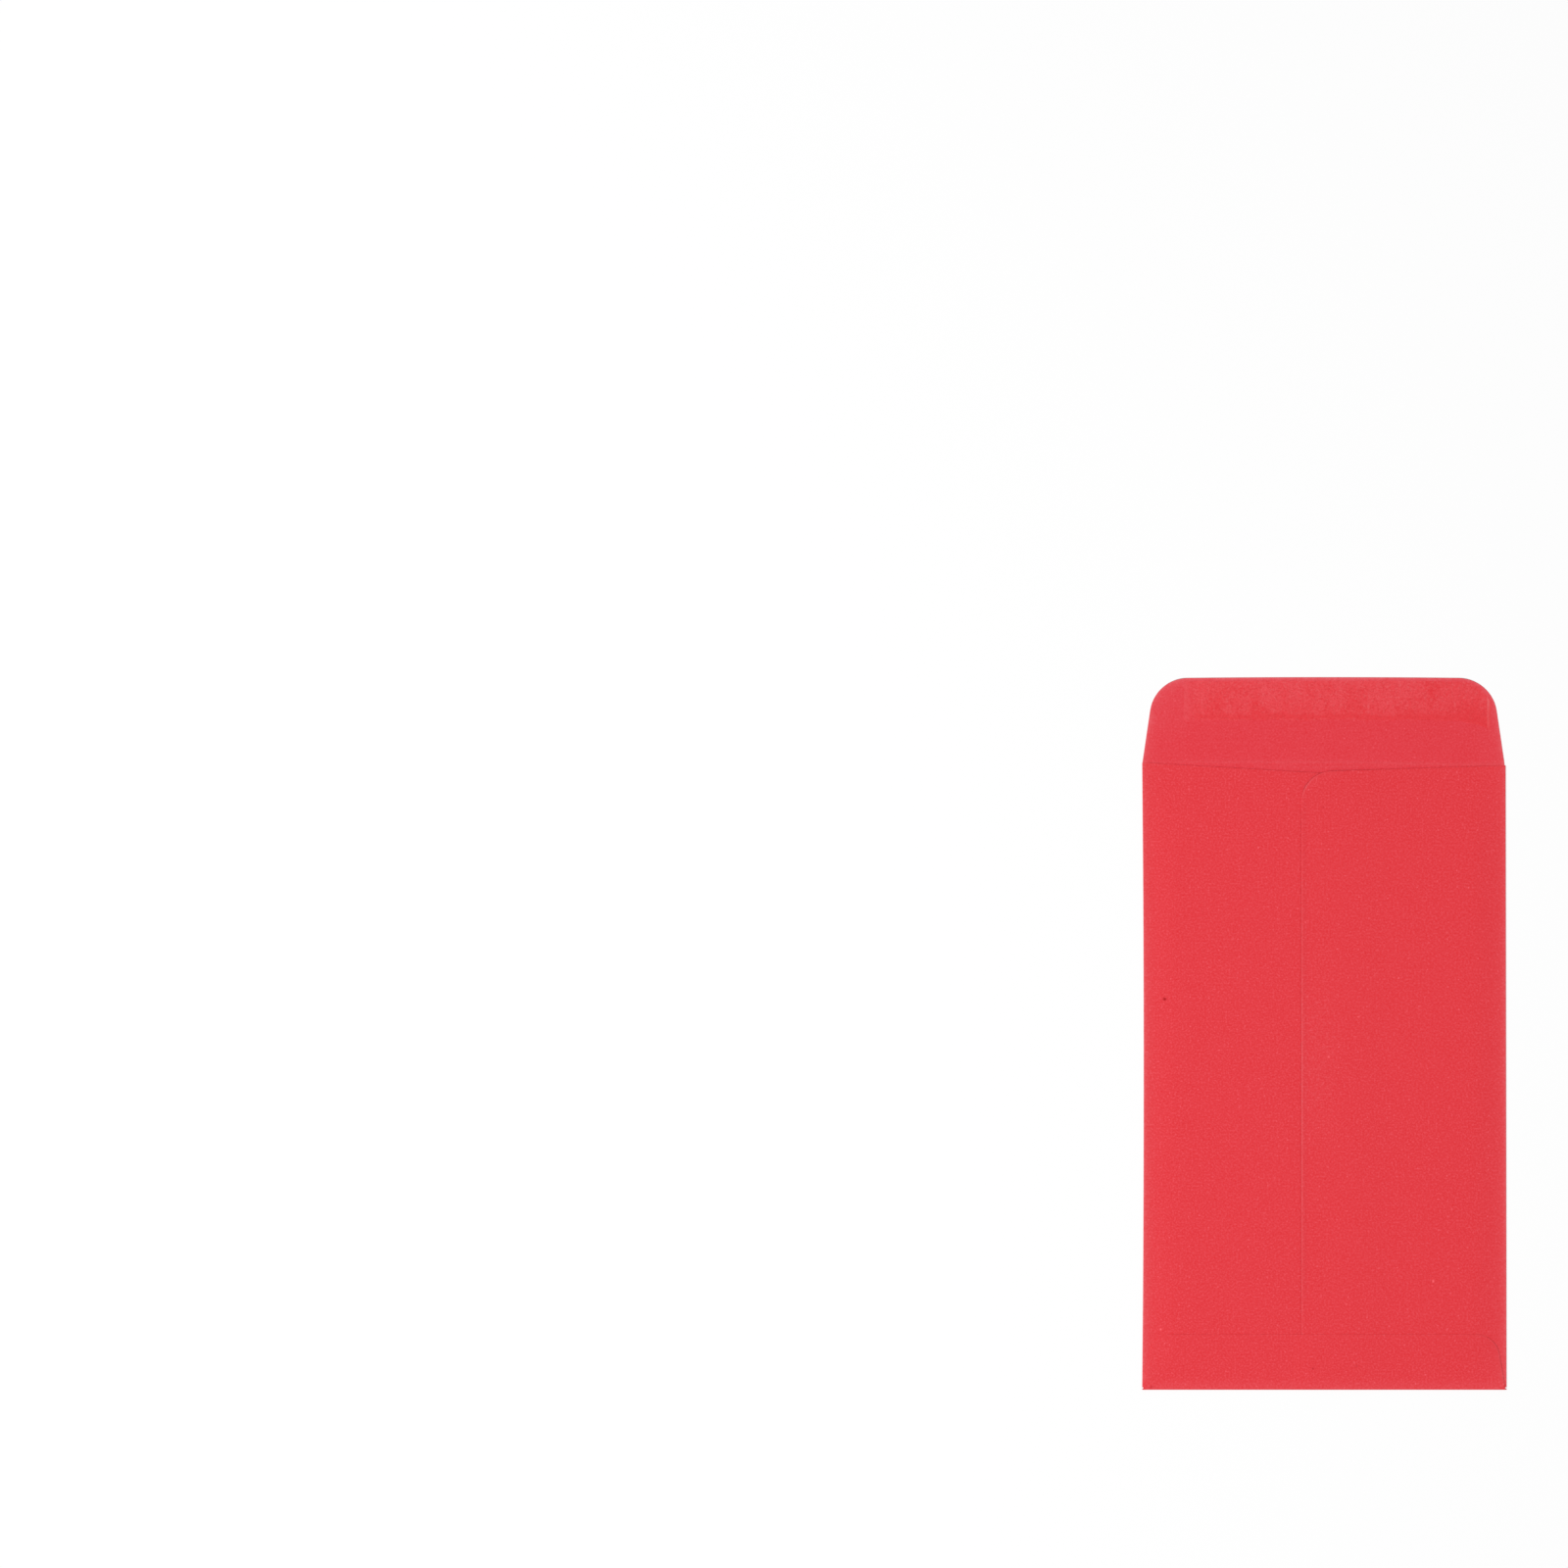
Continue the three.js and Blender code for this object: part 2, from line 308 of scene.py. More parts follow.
class FoldedSheet:
    """A flat grid of paper that is given its thickness and its cut edges, and folded into place."""

    roll_reach = 0.45 * MM
    roll_drop = 0.045 * MM
    rim_steps = 4
    thick_sheet = 0.1 * MM
    sharp_angle = math.radians(50)

    def __init__(self, name: str, thickness: float, place: Place, rim_wear: Wear) -> None:
        """Starts an empty sheet.

        Args:
            name: The name of the piece.
            thickness: How thick the sheet is.
            place: Folds flat points, at depths from the outside face, into the row frame.
            rim_wear: Gives how pale the paper has worn, and below 0 where shade is painted, from flat points
                and where they were folded to.
        """
        self.name = name
        self.thickness = thickness
        self.place = place
        self.rim_wear = rim_wear
        self.unfold: Unfold = np.copy
        self.flat: list[Points] = []
        self.quads: list[tuple[int, ...]] = []
        self.cuts: list[Cut] = []
        self._seen: dict[tuple[int, int], int] = {}

    def _corner(self, point: Points) -> int:
        """Gives a flat point its number, the same one wherever patches meet.

        Args:
            point: The flat point.

        Returns:
            Its number.
        """
        key = (round(float(point[0]) * 1e8), round(float(point[1]) * 1e8))
        if key not in self._seen:
            self._seen[key] = len(self.flat)
            self.flat.append(point)
        return self._seen[key]

    def add_patch(self, patch: Points) -> None:
        """Adds a patch of quads that runs anticlockwise, whichever way its lines were given.

        Args:
            patch: Lines of flat points, all with as many points.
        """
        first, second = patch[1, 0] - patch[0, 0], patch[0, 1] - patch[0, 0]
        if first[0] * second[1] - first[1] * second[0] < 0:
            patch = patch[::-1]
        numbers = [[self._corner(point) for point in line] for line in patch]
        for near, far in zip(numbers[:-1], numbers[1:], strict=True):
            for low in range(len(near) - 1):
                self.quads.append((near[low], far[low], far[low + 1], near[low + 1]))

    def _boundary(self) -> dict[int, int]:
        """Finds the edges that only one quad uses, each from its first corner to its second."""
        edges = {(quad[i - 1], quad[i]) for quad in self.quads for i in range(4)}
        return {start: end for start, end in edges if (end, start) not in edges}

    def _outward(self, boundary: dict[int, int], flat: Points) -> dict[int, Points]:
        """Finds the direction that points out of the sheet at each corner of its boundary.

        Args:
            boundary: The boundary's edges, each from its first corner to its second.
            flat: The sheet's flat points.

        Returns:
            For each corner, the step that moves both of its edges out by one unit.
        """
        before = {end: start for start, end in boundary.items()}
        outward = {}
        for corner, after in boundary.items():
            normals = []
            for start, end in ((before[corner], corner), (corner, after)):
                along = (flat[end] - flat[start]) / np.linalg.norm(flat[end] - flat[start])
                normals.append(np.array([along[1], -along[0]]))
            total = normals[0] + normals[1]
            outward[corner] = total / max(float(total @ total) / 2, 1.0)
        return outward

    def build(self) -> bpy.types.Object:
        """Makes the closed mesh and the marks that its finish reads.

        Returns:
            The piece.
        """
        flat = np.array(self.flat)
        boundary = self._boundary()
        outward = self._outward(boundary, flat)
        gap = distance_to_lines(flat, [cut.line for cut in self.cuts])
        pale = np.max([cut.paleness(flat) for cut in self.cuts], axis=0)
        count = len(flat)

        # Both faces end half the thickness short of a cut, and the rim bulges out to it.
        rim = sorted(boundary)
        rim_row = {corner: row for row, corner in enumerate(rim)}
        pulled = flat.copy()
        bulge = np.where(gap[rim] < 1e-7, self.thickness / 2, 0.0)
        pulls = bulge[:, None] * np.array([outward[corner] for corner in rim])
        pulled[rim] -= pulls

        # The die rolls the outside face down a little along a cut.
        roll = self.roll_drop * np.clip(1.0 - gap / self.roll_reach, 0.0, 1.0) ** 2
        drop = min(1.0, self.thickness / self.thick_sheet)
        outside_depth = roll * drop
        layers = [pulled, pulled]
        depths = [np.full(count, self.thickness), outside_depth]
        inside = [np.ones(count), np.zeros(count)]
        wear = [pale, pale]
        for step in range(1, self.rim_steps):
            turn = math.pi * step / self.rim_steps
            layers.append(flat[rim] + pulls * (math.sin(turn) - 1.0))
            span = self.thickness - outside_depth[rim]
            depths.append(self.thickness - span * (1.0 - math.cos(turn)) / 2)
            inside.append(np.full(len(rim), 1.0 - step / self.rim_steps))
            wear.append(pale[rim])
        all_flat, all_depth = np.concatenate(layers), np.concatenate(depths)
        places = self.place(all_flat, all_depth)

        faces = list(self.quads) + [tuple(count + corner for corner in quad[::-1]) for quad in self.quads]
        for start, end in boundary.items():
            ladder = []
            for corner in (start, end):
                rungs = [2 * count + step * len(rim) + rim_row[corner] for step in range(self.rim_steps - 1)]
                ladder.append([corner, *rungs, count + corner])
            for step in range(self.rim_steps):
                faces.append((ladder[0][step], ladder[0][step + 1], ladder[1][step + 1], ladder[1][step]))

        mesh = bpy.data.meshes.new(self.name)
        mesh.from_pydata(places.tolist(), [], faces)
        side = np.concatenate(inside)
        self.mark(mesh, "blank", np.column_stack([self.unfold(all_flat), side * MM]))
        self.mark(mesh, "inside", side)
        # The wear mark holds pale wear above 0 and painted shade below 0.
        self.mark(mesh, "wear", np.concatenate(wear) + self.rim_wear(all_flat, places))
        mesh.shade_smooth()
        mesh.set_sharp_from_angle(angle=self.sharp_angle)
        piece = bpy.data.objects.new(self.name, mesh)
        bpy.context.scene.collection.objects.link(piece)
        return piece

    @staticmethod
    def mark(mesh: bpy.types.Mesh, name: str, values: Points) -> None:
        """Stores one value or vector for each point of a mesh.

        Args:
            mesh: The mesh.
            name: The name that the finish reads.
            values: The values, one a point.
        """
        kind, key = ("FLOAT_VECTOR", "vector") if values.ndim == 2 else ("FLOAT", "value")
        mark = mesh.attributes.new(name, kind, "POINT")
        mark.data.foreach_set(key, values.astype(np.float32).ravel())


class Bench:
    """Lays out and joins the nodes of one material, or of the sky."""

    far_step = (317.0, 151.0, 83.0)

    def __init__(self, owner: bpy.types.Material | bpy.types.World) -> None:
        """Empties the node tree of a new material or sky.

        Args:
            owner: The material or sky.
        """
        self.owner = owner
        owner.use_nodes = True
        self.tree = owner.node_tree
        self.tree.nodes.clear()

    def node(self, kind: str, **settings: str | bool) -> bpy.types.Node:
        """Adds a node of a kind and sets its properties.

        Args:
            kind: The node's type.
            **settings: Its properties, by name.

        Returns:
            The node.
        """
        made = self.tree.nodes.new(kind)
        for key, value in settings.items():
            setattr(made, key, value)
        return made

    def feed(self, target: bpy.types.NodeSocket, source: object) -> None:
        """Joins a socket to another one, or sets its own value.

        Args:
            target: The socket that takes it.
            source: The other socket, or the value.
        """
        if isinstance(source, bpy.types.NodeSocket):
            self.tree.links.new(source, target)
        else:
            target.default_value = source

    def marked(self, name: str) -> bpy.types.NodeSocket:
        """Reads a value that the mesh carries."""
        return self.node("ShaderNodeAttribute", attribute_name=name).outputs["Fac"]

    def paper_place(self) -> bpy.types.NodeSocket:
        """Reads the place on the flat blank, so that the grain follows every fold.

        Returns:
            The place, in millimetres.
        """
        read = self.node("ShaderNodeAttribute", attribute_name="blank")
        scaled = self.node("ShaderNodeVectorMath", operation="SCALE")
        self.feed(scaled.inputs["Vector"], read.outputs["Vector"])
        self.feed(scaled.inputs["Scale"], 1 / MM)
        return scaled.outputs["Vector"]

    def math(self, operation: str, first: object, second: object = 0.0) -> bpy.types.NodeSocket:
        """Works out one number from two.

        Args:
            operation: What to do with them.
            first: The first, as a number or a socket.
            second: The second one.

        Returns:
            The result's socket.
        """
        made = self.node("ShaderNodeMath", operation=operation)
        self.feed(made.inputs[0], first)
        self.feed(made.inputs[1], second)
        return made.outputs["Value"]

    def chain(self, operation: str, values: Sequence[object]) -> bpy.types.NodeSocket:
        """Works through several numbers with the same operation, from the first on.

        Args:
            operation: What to do with each two.
            values: The numbers or sockets.

        Returns:
            The last result's socket.
        """
        total = values[0]
        for value in values[1:]:
            total = self.math(operation, total, value)
        return total

    def sum(self, *values: object) -> bpy.types.NodeSocket:
        """Adds up several numbers."""
        return self.chain("ADD", values)

    def product(self, *values: object) -> bpy.types.NodeSocket:
        """Multiplies several numbers."""
        return self.chain("MULTIPLY", values)

    def ramp(
        self, value: object, low: float, high: float, start: object = 0.0, end: object = 1.0
    ) -> bpy.types.NodeSocket:
        """Moves a number smoothly from start to end as another one goes from low to high.

        Args:
            value: The other one, as a number or a socket.
            low: Where the move starts.
            high: Where it ends.
            start: The result at low.
            end: The result at high.

        Returns:
            The result's socket.
        """
        made = self.node("ShaderNodeMapRange", interpolation_type="SMOOTHSTEP")
        values = {"Value": value, "From Min": low, "From Max": high, "To Min": start, "To Max": end}
        for key, part in values.items():
            self.feed(made.inputs[key], part)
        return made.outputs["Result"]

    def seen(self) -> bpy.types.NodeSocket:
        """Tells where the camera sees a place directly, in a glossy surface or through a clear one.

        Returns:
            A socket that is 1 there and 0 elsewhere.
        """
        path = self.node("ShaderNodeLightPath")
        either = self.math("MAXIMUM", path.outputs["Is Camera Ray"], path.outputs["Is Glossy Ray"])
        return self.math("MAXIMUM", either, path.outputs["Is Transmission Ray"])

    def noise(
        self,
        place: object,
        size_mm: float,
        detail: float = 3.0,
        stretch: Triple = (1.0, 1.0, 1.0),
    ) -> bpy.types.NodeSocket:
        """Cloudy noise with clouds of about one size.

        Args:
            place: The place on the blank, in millimetres.
            size_mm: The size of the clouds.
            detail: How much finer noise lies in them.
            stretch: A factor below 1 makes the clouds long in that direction.

        Returns:
            The noise, about 0.5 on average.
        """
        spread = self.node("ShaderNodeMapping")
        self.feed(spread.inputs["Vector"], place)
        self.feed(spread.inputs["Scale"], stretch)
        made = self.node("ShaderNodeTexNoise")
        self.feed(made.inputs["Vector"], spread.outputs["Vector"])
        self.feed(made.inputs["Scale"], 1.0 / size_mm)
        self.feed(made.inputs["Detail"], detail)
        return made.outputs[0]

    def dots(
        self,
        place: object,
        spacing_mm: float,
        radius_mm: float,
        share: float,
        stretch: Triple = (1.0, 1.0, 1.0),
        turn: float = 0.0,
    ) -> bpy.types.NodeSocket:
        """Scattered dots, or short fibres where they are stretched.

        Args:
            place: The place on the blank, in millimetres.
            spacing_mm: The spacing of the places where a dot may be.
            radius_mm: The radius of a dot.
            share: The share of the places that have one.
            stretch: A factor below 1 makes the dots long in that direction.
            turn: How far the long direction is turned, in radians.

        Returns:
            The strength of the dots, from 0 to 1.
        """
        spread = self.node("ShaderNodeMapping")
        self.feed(spread.inputs["Vector"], place)
        self.feed(spread.inputs["Rotation"], (0.0, 0.0, turn))
        self.feed(spread.inputs["Scale"], stretch)
        cells = self.node("ShaderNodeTexVoronoi", voronoi_dimensions="2D")
        self.feed(cells.inputs["Vector"], spread.outputs["Vector"])
        self.feed(cells.inputs["Scale"], 1.0 / spacing_mm)
        chance = self.node("ShaderNodeSeparateColor")
        self.feed(chance.inputs["Color"], cells.outputs["Color"])
        chosen = self.math("LESS_THAN", chance.outputs["Red"], share)
        reach = radius_mm / spacing_mm
        near = self.ramp(cells.outputs["Distance"], reach, reach * 0.3)
        own = self.ramp(chance.outputs["Green"], 0.0, 1.0, 0.3, 1.0)
        return self.product(near, chosen, own)

    def shifted(self, place: object) -> bpy.types.NodeSocket:
        """Moves a place far along, so that a second noise doesn't repeat the first.

        Args:
            place: The place.

        Returns:
            The moved place.
        """
        moved = self.node("ShaderNodeVectorMath", operation="ADD")
        self.feed(moved.inputs[0], place)
        self.feed(moved.inputs[1], self.far_step)
        return moved.outputs["Vector"]

    def blot(self, place: object, centre: Triple, radius: Triple) -> bpy.types.NodeSocket:
        """A soft round patch on the blank, strongest at its centre.

        Args:
            place: The place on the blank, in millimetres.
            centre: The patch's centre.
            radius: Its radius in each direction.

        Returns:
            Its strength, from 0 to 1.
        """
        moved = self.node("ShaderNodeVectorMath", operation="SUBTRACT")
        self.feed(moved.inputs[0], place)
        self.feed(moved.inputs[1], centre)
        scaled = self.node("ShaderNodeVectorMath", operation="DIVIDE")
        self.feed(scaled.inputs[0], moved.outputs["Vector"])
        self.feed(scaled.inputs[1], radius)
        length = self.node("ShaderNodeVectorMath", operation="LENGTH")
        self.feed(length.inputs[0], scaled.outputs["Vector"])
        return self.ramp(length.outputs["Value"], 1.0, 0.0)

    def tint(self, factor: object, below: object, above: object) -> bpy.types.NodeSocket:
        """Blends one colour into another.

        Args:
            factor: The share of the second.
            below: The first colour, or its socket.
            above: The second one.

        Returns:
            The blend's socket.
        """
        made = self.node("ShaderNodeMix", data_type="RGBA")
        parts = {"Factor_Float": factor, "A_Color": below, "B_Color": above}
        for socket in made.inputs:
            if socket.identifier in parts:
                part = parts[socket.identifier]
                self.feed(socket, (*part, 1.0) if isinstance(part, tuple) else part)
        return next(socket for socket in made.outputs if socket.identifier == "Result_Color")

    def relief(self, height: object, depth: float) -> bpy.types.NodeSocket:
        """Turns a height into a surface relief.

        Args:
            height: The height, from 0 to 1.
            depth: How deep 0 lies under 1, in metres.

        Returns:
            The relief's socket.
        """
        bump = self.node("ShaderNodeBump")
        self.feed(bump.inputs["Height"], height)
        self.feed(bump.inputs["Distance"], depth)
        return bump.outputs["Normal"]

    def surface(
        self, color: object, roughness: object, normal: object, specular: float, sheen: float
    ) -> bpy.types.Material:
        """Finishes the material with its shader.

        Args:
            color: The base colour.
            roughness: The roughness.
            normal: The surface relief.
            specular: The strength of the plain gloss.
            sheen: The strength of the soft glow of loose fibres.

        Returns:
            The material.
        """
        shader = self.node("ShaderNodeBsdfPrincipled")
        self.feed(shader.inputs["Base Color"], color)
        self.feed(shader.inputs["Roughness"], roughness)
        self.feed(shader.inputs["Normal"], normal)
        self.feed(shader.inputs["Specular IOR Level"], specular)
        self.feed(shader.inputs["Sheen Weight"], sheen)
        output = self.node("ShaderNodeOutputMaterial")
        self.feed(output.inputs["Surface"], shader.outputs["BSDF"])
        return self.owner


@dataclass(frozen=True)
class PaperFinish:
    """Dyed red paper: a cloudy, fine-grained sheet with light and dark fibres and paler rims, and painted shade
    where its wear mark falls below 0.
    """

    outside: Color = (0.749, 0.0426, 0.0548)
    inside: Color = (0.741, 0.0456, 0.0622)
    pale: Color = (0.95, 0.60, 0.66)
    bright: Color = (0.92, 0.1250, 0.1600)
    deep: Color = (0.68, 0.0080, 0.0130)
    dark_fibre: Color = (0.40, 0.0010, 0.0040)
    light_fibre: Color = (0.98, 0.1250, 0.1500)
    # Painted shade, tinted in where the wear mark falls below 0.
    painted_shade: Color = (0.22, 0.0100, 0.0160)
    pale_patch_radius: Triple = (10.0, 34.0, 6.0)
    pale_patch_strength: float = 0.026
    specular: float = 0.20
    sheen: float = 0.05

    def material(self, pale_middle: Triple, flecks: Sequence[Fleck]) -> bpy.types.Material:
        """Lays out the paper's nodes.

        Args:
            pale_middle: The middle of the paler patch on the blank, in millimetres.
            flecks: The stray fibres that catch the eye.

        Returns:
            The material.
        """
        bench = Bench(bpy.data.materials.new("red_paper"))
        place = bench.paper_place()
        clouds = bench.noise(place, 5.0, 4.0)
        flock = bench.noise(place, 1.3, 3.0)
        grain = bench.noise(place, 0.42, 2.0)
        fibres = bench.noise(bench.shifted(place), 0.50, 3.0)

        inside = bench.marked("inside")
        base = bench.tint(inside, self.outside, self.inside)
        shade = bench.sum(
            bench.ramp(clouds, 0.35, 0.68, 0.0, 0.06),
            bench.ramp(flock, 0.30, 0.72, 0.0, 0.06),
            bench.ramp(grain, 0.36, 0.80, 0.0, bench.ramp(inside, 0.0, 1.0, 0.42, 0.35)),
        )
        dim = bench.dots(bench.shifted(place), 1.4, 0.28, 0.28)
        base = bench.tint(bench.sum(shade, bench.product(dim, 0.34)), base, self.deep)

        fine = bench.dots(place, 0.95, 0.20, 0.22)
        long = bench.dots(place, 2.6, 0.20, 0.12, (1.0, 0.34, 1.0), 0.7)
        crossed = bench.dots(place, 3.1, 0.22, 0.10, (0.36, 1.0, 1.0), 0.4)
        stray = bench.dots(place, 2.6, 0.26, 0.24)
        shine = bench.sum(
            bench.ramp(fibres, 0.42, 0.80, 0.0, 0.40),
            bench.product(fine, 0.18),
            bench.product(long, 0.35),
            bench.product(crossed, 0.35),
            bench.product(stray, 0.60),
        )
        shine = bench.product(shine, bench.ramp(inside, 0.0, 1.0, 1.0, 0.68))
        base = bench.tint(shine, base, self.bright)
        # A soft paler patch on the right back panel beside the seam.
        pale_patch = bench.product(
            bench.blot(place, pale_middle, self.pale_patch_radius),
            bench.ramp(bench.noise(place, 0.8, 3.0, (1.0, 0.6, 1.0)), 0.40, 0.72),
        )
        # The wear mark holds pale wear above 0 and painted shade below 0.
        worn = bench.product(bench.marked("wear"), bench.ramp(flock, 0.30, 0.70, 0.7, 1.3))
        wear = bench.sum(bench.product(pale_patch, self.pale_patch_strength), bench.math("MAXIMUM", worn, 0.0))
        base = bench.tint(wear, base, self.pale)
        # Below 0 the wear mark is painted shade: painted shadow at the foot of the seam, the corner arc and the
        # throats, and painted shade at the closed end's corners.
        painted_shade_share = bench.math("MAXIMUM", bench.product(worn, -1.0), 0.0)
        base = bench.tint(painted_shade_share, base, self.painted_shade)
        for fleck in flecks:
            shown = bench.product(bench.blot(place, fleck.place, fleck.radius), fleck.strength)
            base = bench.tint(shown, base, self.dark_fibre if fleck.kind is Speck.DARK else self.light_fibre)

        height = bench.sum(
            bench.product(grain, 0.35),
            bench.product(flock, 0.65),
            bench.product(fine, 0.25),
        )
        normal = bench.relief(height, 0.035 * MM)
        roughness = bench.ramp(flock, 0.25, 0.75, 0.90, 0.80)
        return bench.surface(base, roughness, normal, self.specular, self.sheen)


@dataclass(frozen=True)
class GumFinish:
    """Dried gum: a warm, faintly glossy film that is mottled and streaked, and deeper where it pooled."""

    thin: Color = (0.770, 0.0437, 0.0588)
    thick: Color = (0.747, 0.0224, 0.0330)
    deep: Color = (0.61, 0.0040, 0.0105)
    feather: Color = (0.743, 0.0387, 0.0560)
    milky: Color = (0.96, 0.50, 0.52)
    crust: Color = (0.93, 0.44, 0.45)
    specular: float = 0.35
    sheen: float = 0.0

    def material(self) -> bpy.types.Material:
        """Lays out the gum's nodes.

        Returns:
            The material.
        """
        bench = Bench(bpy.data.materials.new("dried_gum"))
        place = bench.paper_place()
        streaks = bench.noise(place, 4.2, 3.0, (1.0, 0.38, 1.0))
        mottle = bench.noise(place, 1.1, 3.0)
        grain = bench.noise(place, 0.42, 2.0)
        grit = bench.noise(bench.shifted(place), 0.55, 3.0)
        pool = bench.marked("pool")
        body = bench.sum(
            bench.ramp(streaks, 0.36, 0.66, 0.0, 0.75),
            bench.ramp(mottle, 0.35, 0.70, 0.0, 0.25),
            bench.product(pool, 0.9),
        )
        clear = bench.math("SUBTRACT", 1.0, bench.product(pool, 0.6))
        film = bench.marked("film")
        base = bench.tint(body, self.thin, self.thick)
        base = bench.tint(film, self.feather, base)
        speckle = bench.ramp(grain, 0.36, 0.80, 0.0, bench.ramp(film, 0.0, 1.0, 0.50, 0.64))
        base = bench.tint(speckle, base, self.deep)
        milk = bench.product(
            bench.ramp(grit, 0.46, 0.76, 0.0, 0.10),
            bench.ramp(mottle, 0.34, 0.62, 0.25, 1.0),
            clear,
            bench.ramp(film, 0.0, 1.0, 0.45, 1.0),
        )
        base = bench.tint(milk, base, self.milky)
        base = bench.tint(bench.marked("crust"), base, self.crust)
        height = bench.sum(bench.product(mottle, 0.6), bench.product(grit, 0.4))
        normal = bench.relief(height, 0.03 * MM)
        roughness = bench.ramp(mottle, 0.30, 0.70, 0.46, 0.66)
        return bench.surface(base, roughness, normal, self.specular, self.sheen)


@dataclass(frozen=True)
class GlueFinish:
    """The dried cream glue between two layers."""

    thin: Color = (0.82, 0.74, 0.60)
    thick: Color = (0.70, 0.58, 0.40)
    specular: float = 0.5
    sheen: float = 0.0

    def material(self) -> bpy.types.Material:
        """Lays out the glue's nodes.

        Returns:
            The material.
        """
        bench = Bench(bpy.data.materials.new("dried_glue"))
        place = bench.paper_place()
        mottle = bench.noise(place, 1.6, 3.0)
        base = bench.tint(bench.ramp(mottle, 0.35, 0.70), self.thin, self.thick)
        normal = bench.relief(mottle, 0.02 * MM)
        roughness = bench.ramp(mottle, 0.30, 0.70, 0.35, 0.55)
        return bench.surface(base, roughness, normal, self.specular, self.sheen)


def dress(
    piece: bpy.types.Object, finish: bpy.types.Material, body: str, nodes: Sequence[str]
) -> bpy.types.Object:
    """Gives a piece its finish and ties it to the frame.

    Args:
        piece: The piece.
        finish: Its material.
        body: The body that it rides on, or nothing where it bends between two.
        nodes: The CAD nodes that it stands for.

    Returns:
        The piece.
    """
    piece.data.materials.append(finish)
    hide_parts(*nodes)
    if body:
        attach(piece, body)
    return piece


@dataclass
class Tab:
    """A flap that narrows evenly from its fold line to two round corners."""

    fold_line: float
    root: float
    tip: float
    half_width: dict[Side, float]
    taper: float
    corner_radius: dict[Side, float]
    corner_facets: int = 14
    fine: tuple[float, ...] = (3.0 * MM, 1.6 * MM, 0.8 * MM, 0.45 * MM, 0.25 * MM, 0.12 * MM)

    def edge(self, side: Side) -> Points:
        """The cut edge on one side, from its root to where its round corner meets the tip.

        Args:
            side: Which of the two.

        Returns:
            The points, with distances from the middle in place of X.
        """
        narrowing = math.tan(self.taper)
        wide = self.half_width[side]
        root = np.array([wide - (self.root - self.fold_line) * narrowing, self.root])
        corner = np.array([wide - (self.tip - self.fold_line) * narrowing, self.tip])
        middle = np.array([0.0, self.tip])
        turned = round_corner(root, corner, middle, self.corner_radius[side], self.corner_facets)
        return np.vstack([root, turned])

    def patch(self, step: float) -> Points:
        """Lays lines of points across the flap, from its root to its tip.

        Args:
            step: The widest spacing of the points.

        Returns:
            The patch, one line for each height.
        """
        edges = {side: self.edge(side) for side in Side}
        corners = np.unique(np.round(np.concatenate([edge[1:, 1] for edge in edges.values()]), 8))
        corners = np.append(corners[corners < self.tip - 1e-7], self.tip)
        rows = np.concatenate([graded(self.root, float(corners[0]), step)[:-1], corners])
        unit = self.half_width[Side.LEFT]
        half = graded(0.0, 1.0, step / unit, [gap / unit for gap in self.fine])
        lines = []
        for row in rows:
            wide = {side: float(np.interp(row, edges[side][:, 1], edges[side][:, 0])) for side in Side}
            across = np.concatenate([-half[:0:-1] * wide[Side.LEFT], half * wide[Side.RIGHT]])
            lines.append(np.column_stack([across, np.full(len(across), row)]))
        return np.stack(lines)

    def outline(self) -> Points:
        """The flap's cut edge, from its root on the right round to its root on the left.

        Returns:
            Its points.
        """
        right = self.edge(Side.RIGHT)
        left = self.edge(Side.LEFT)[::-1] * np.array([-1.0, 1.0])
        return np.vstack([right, left])


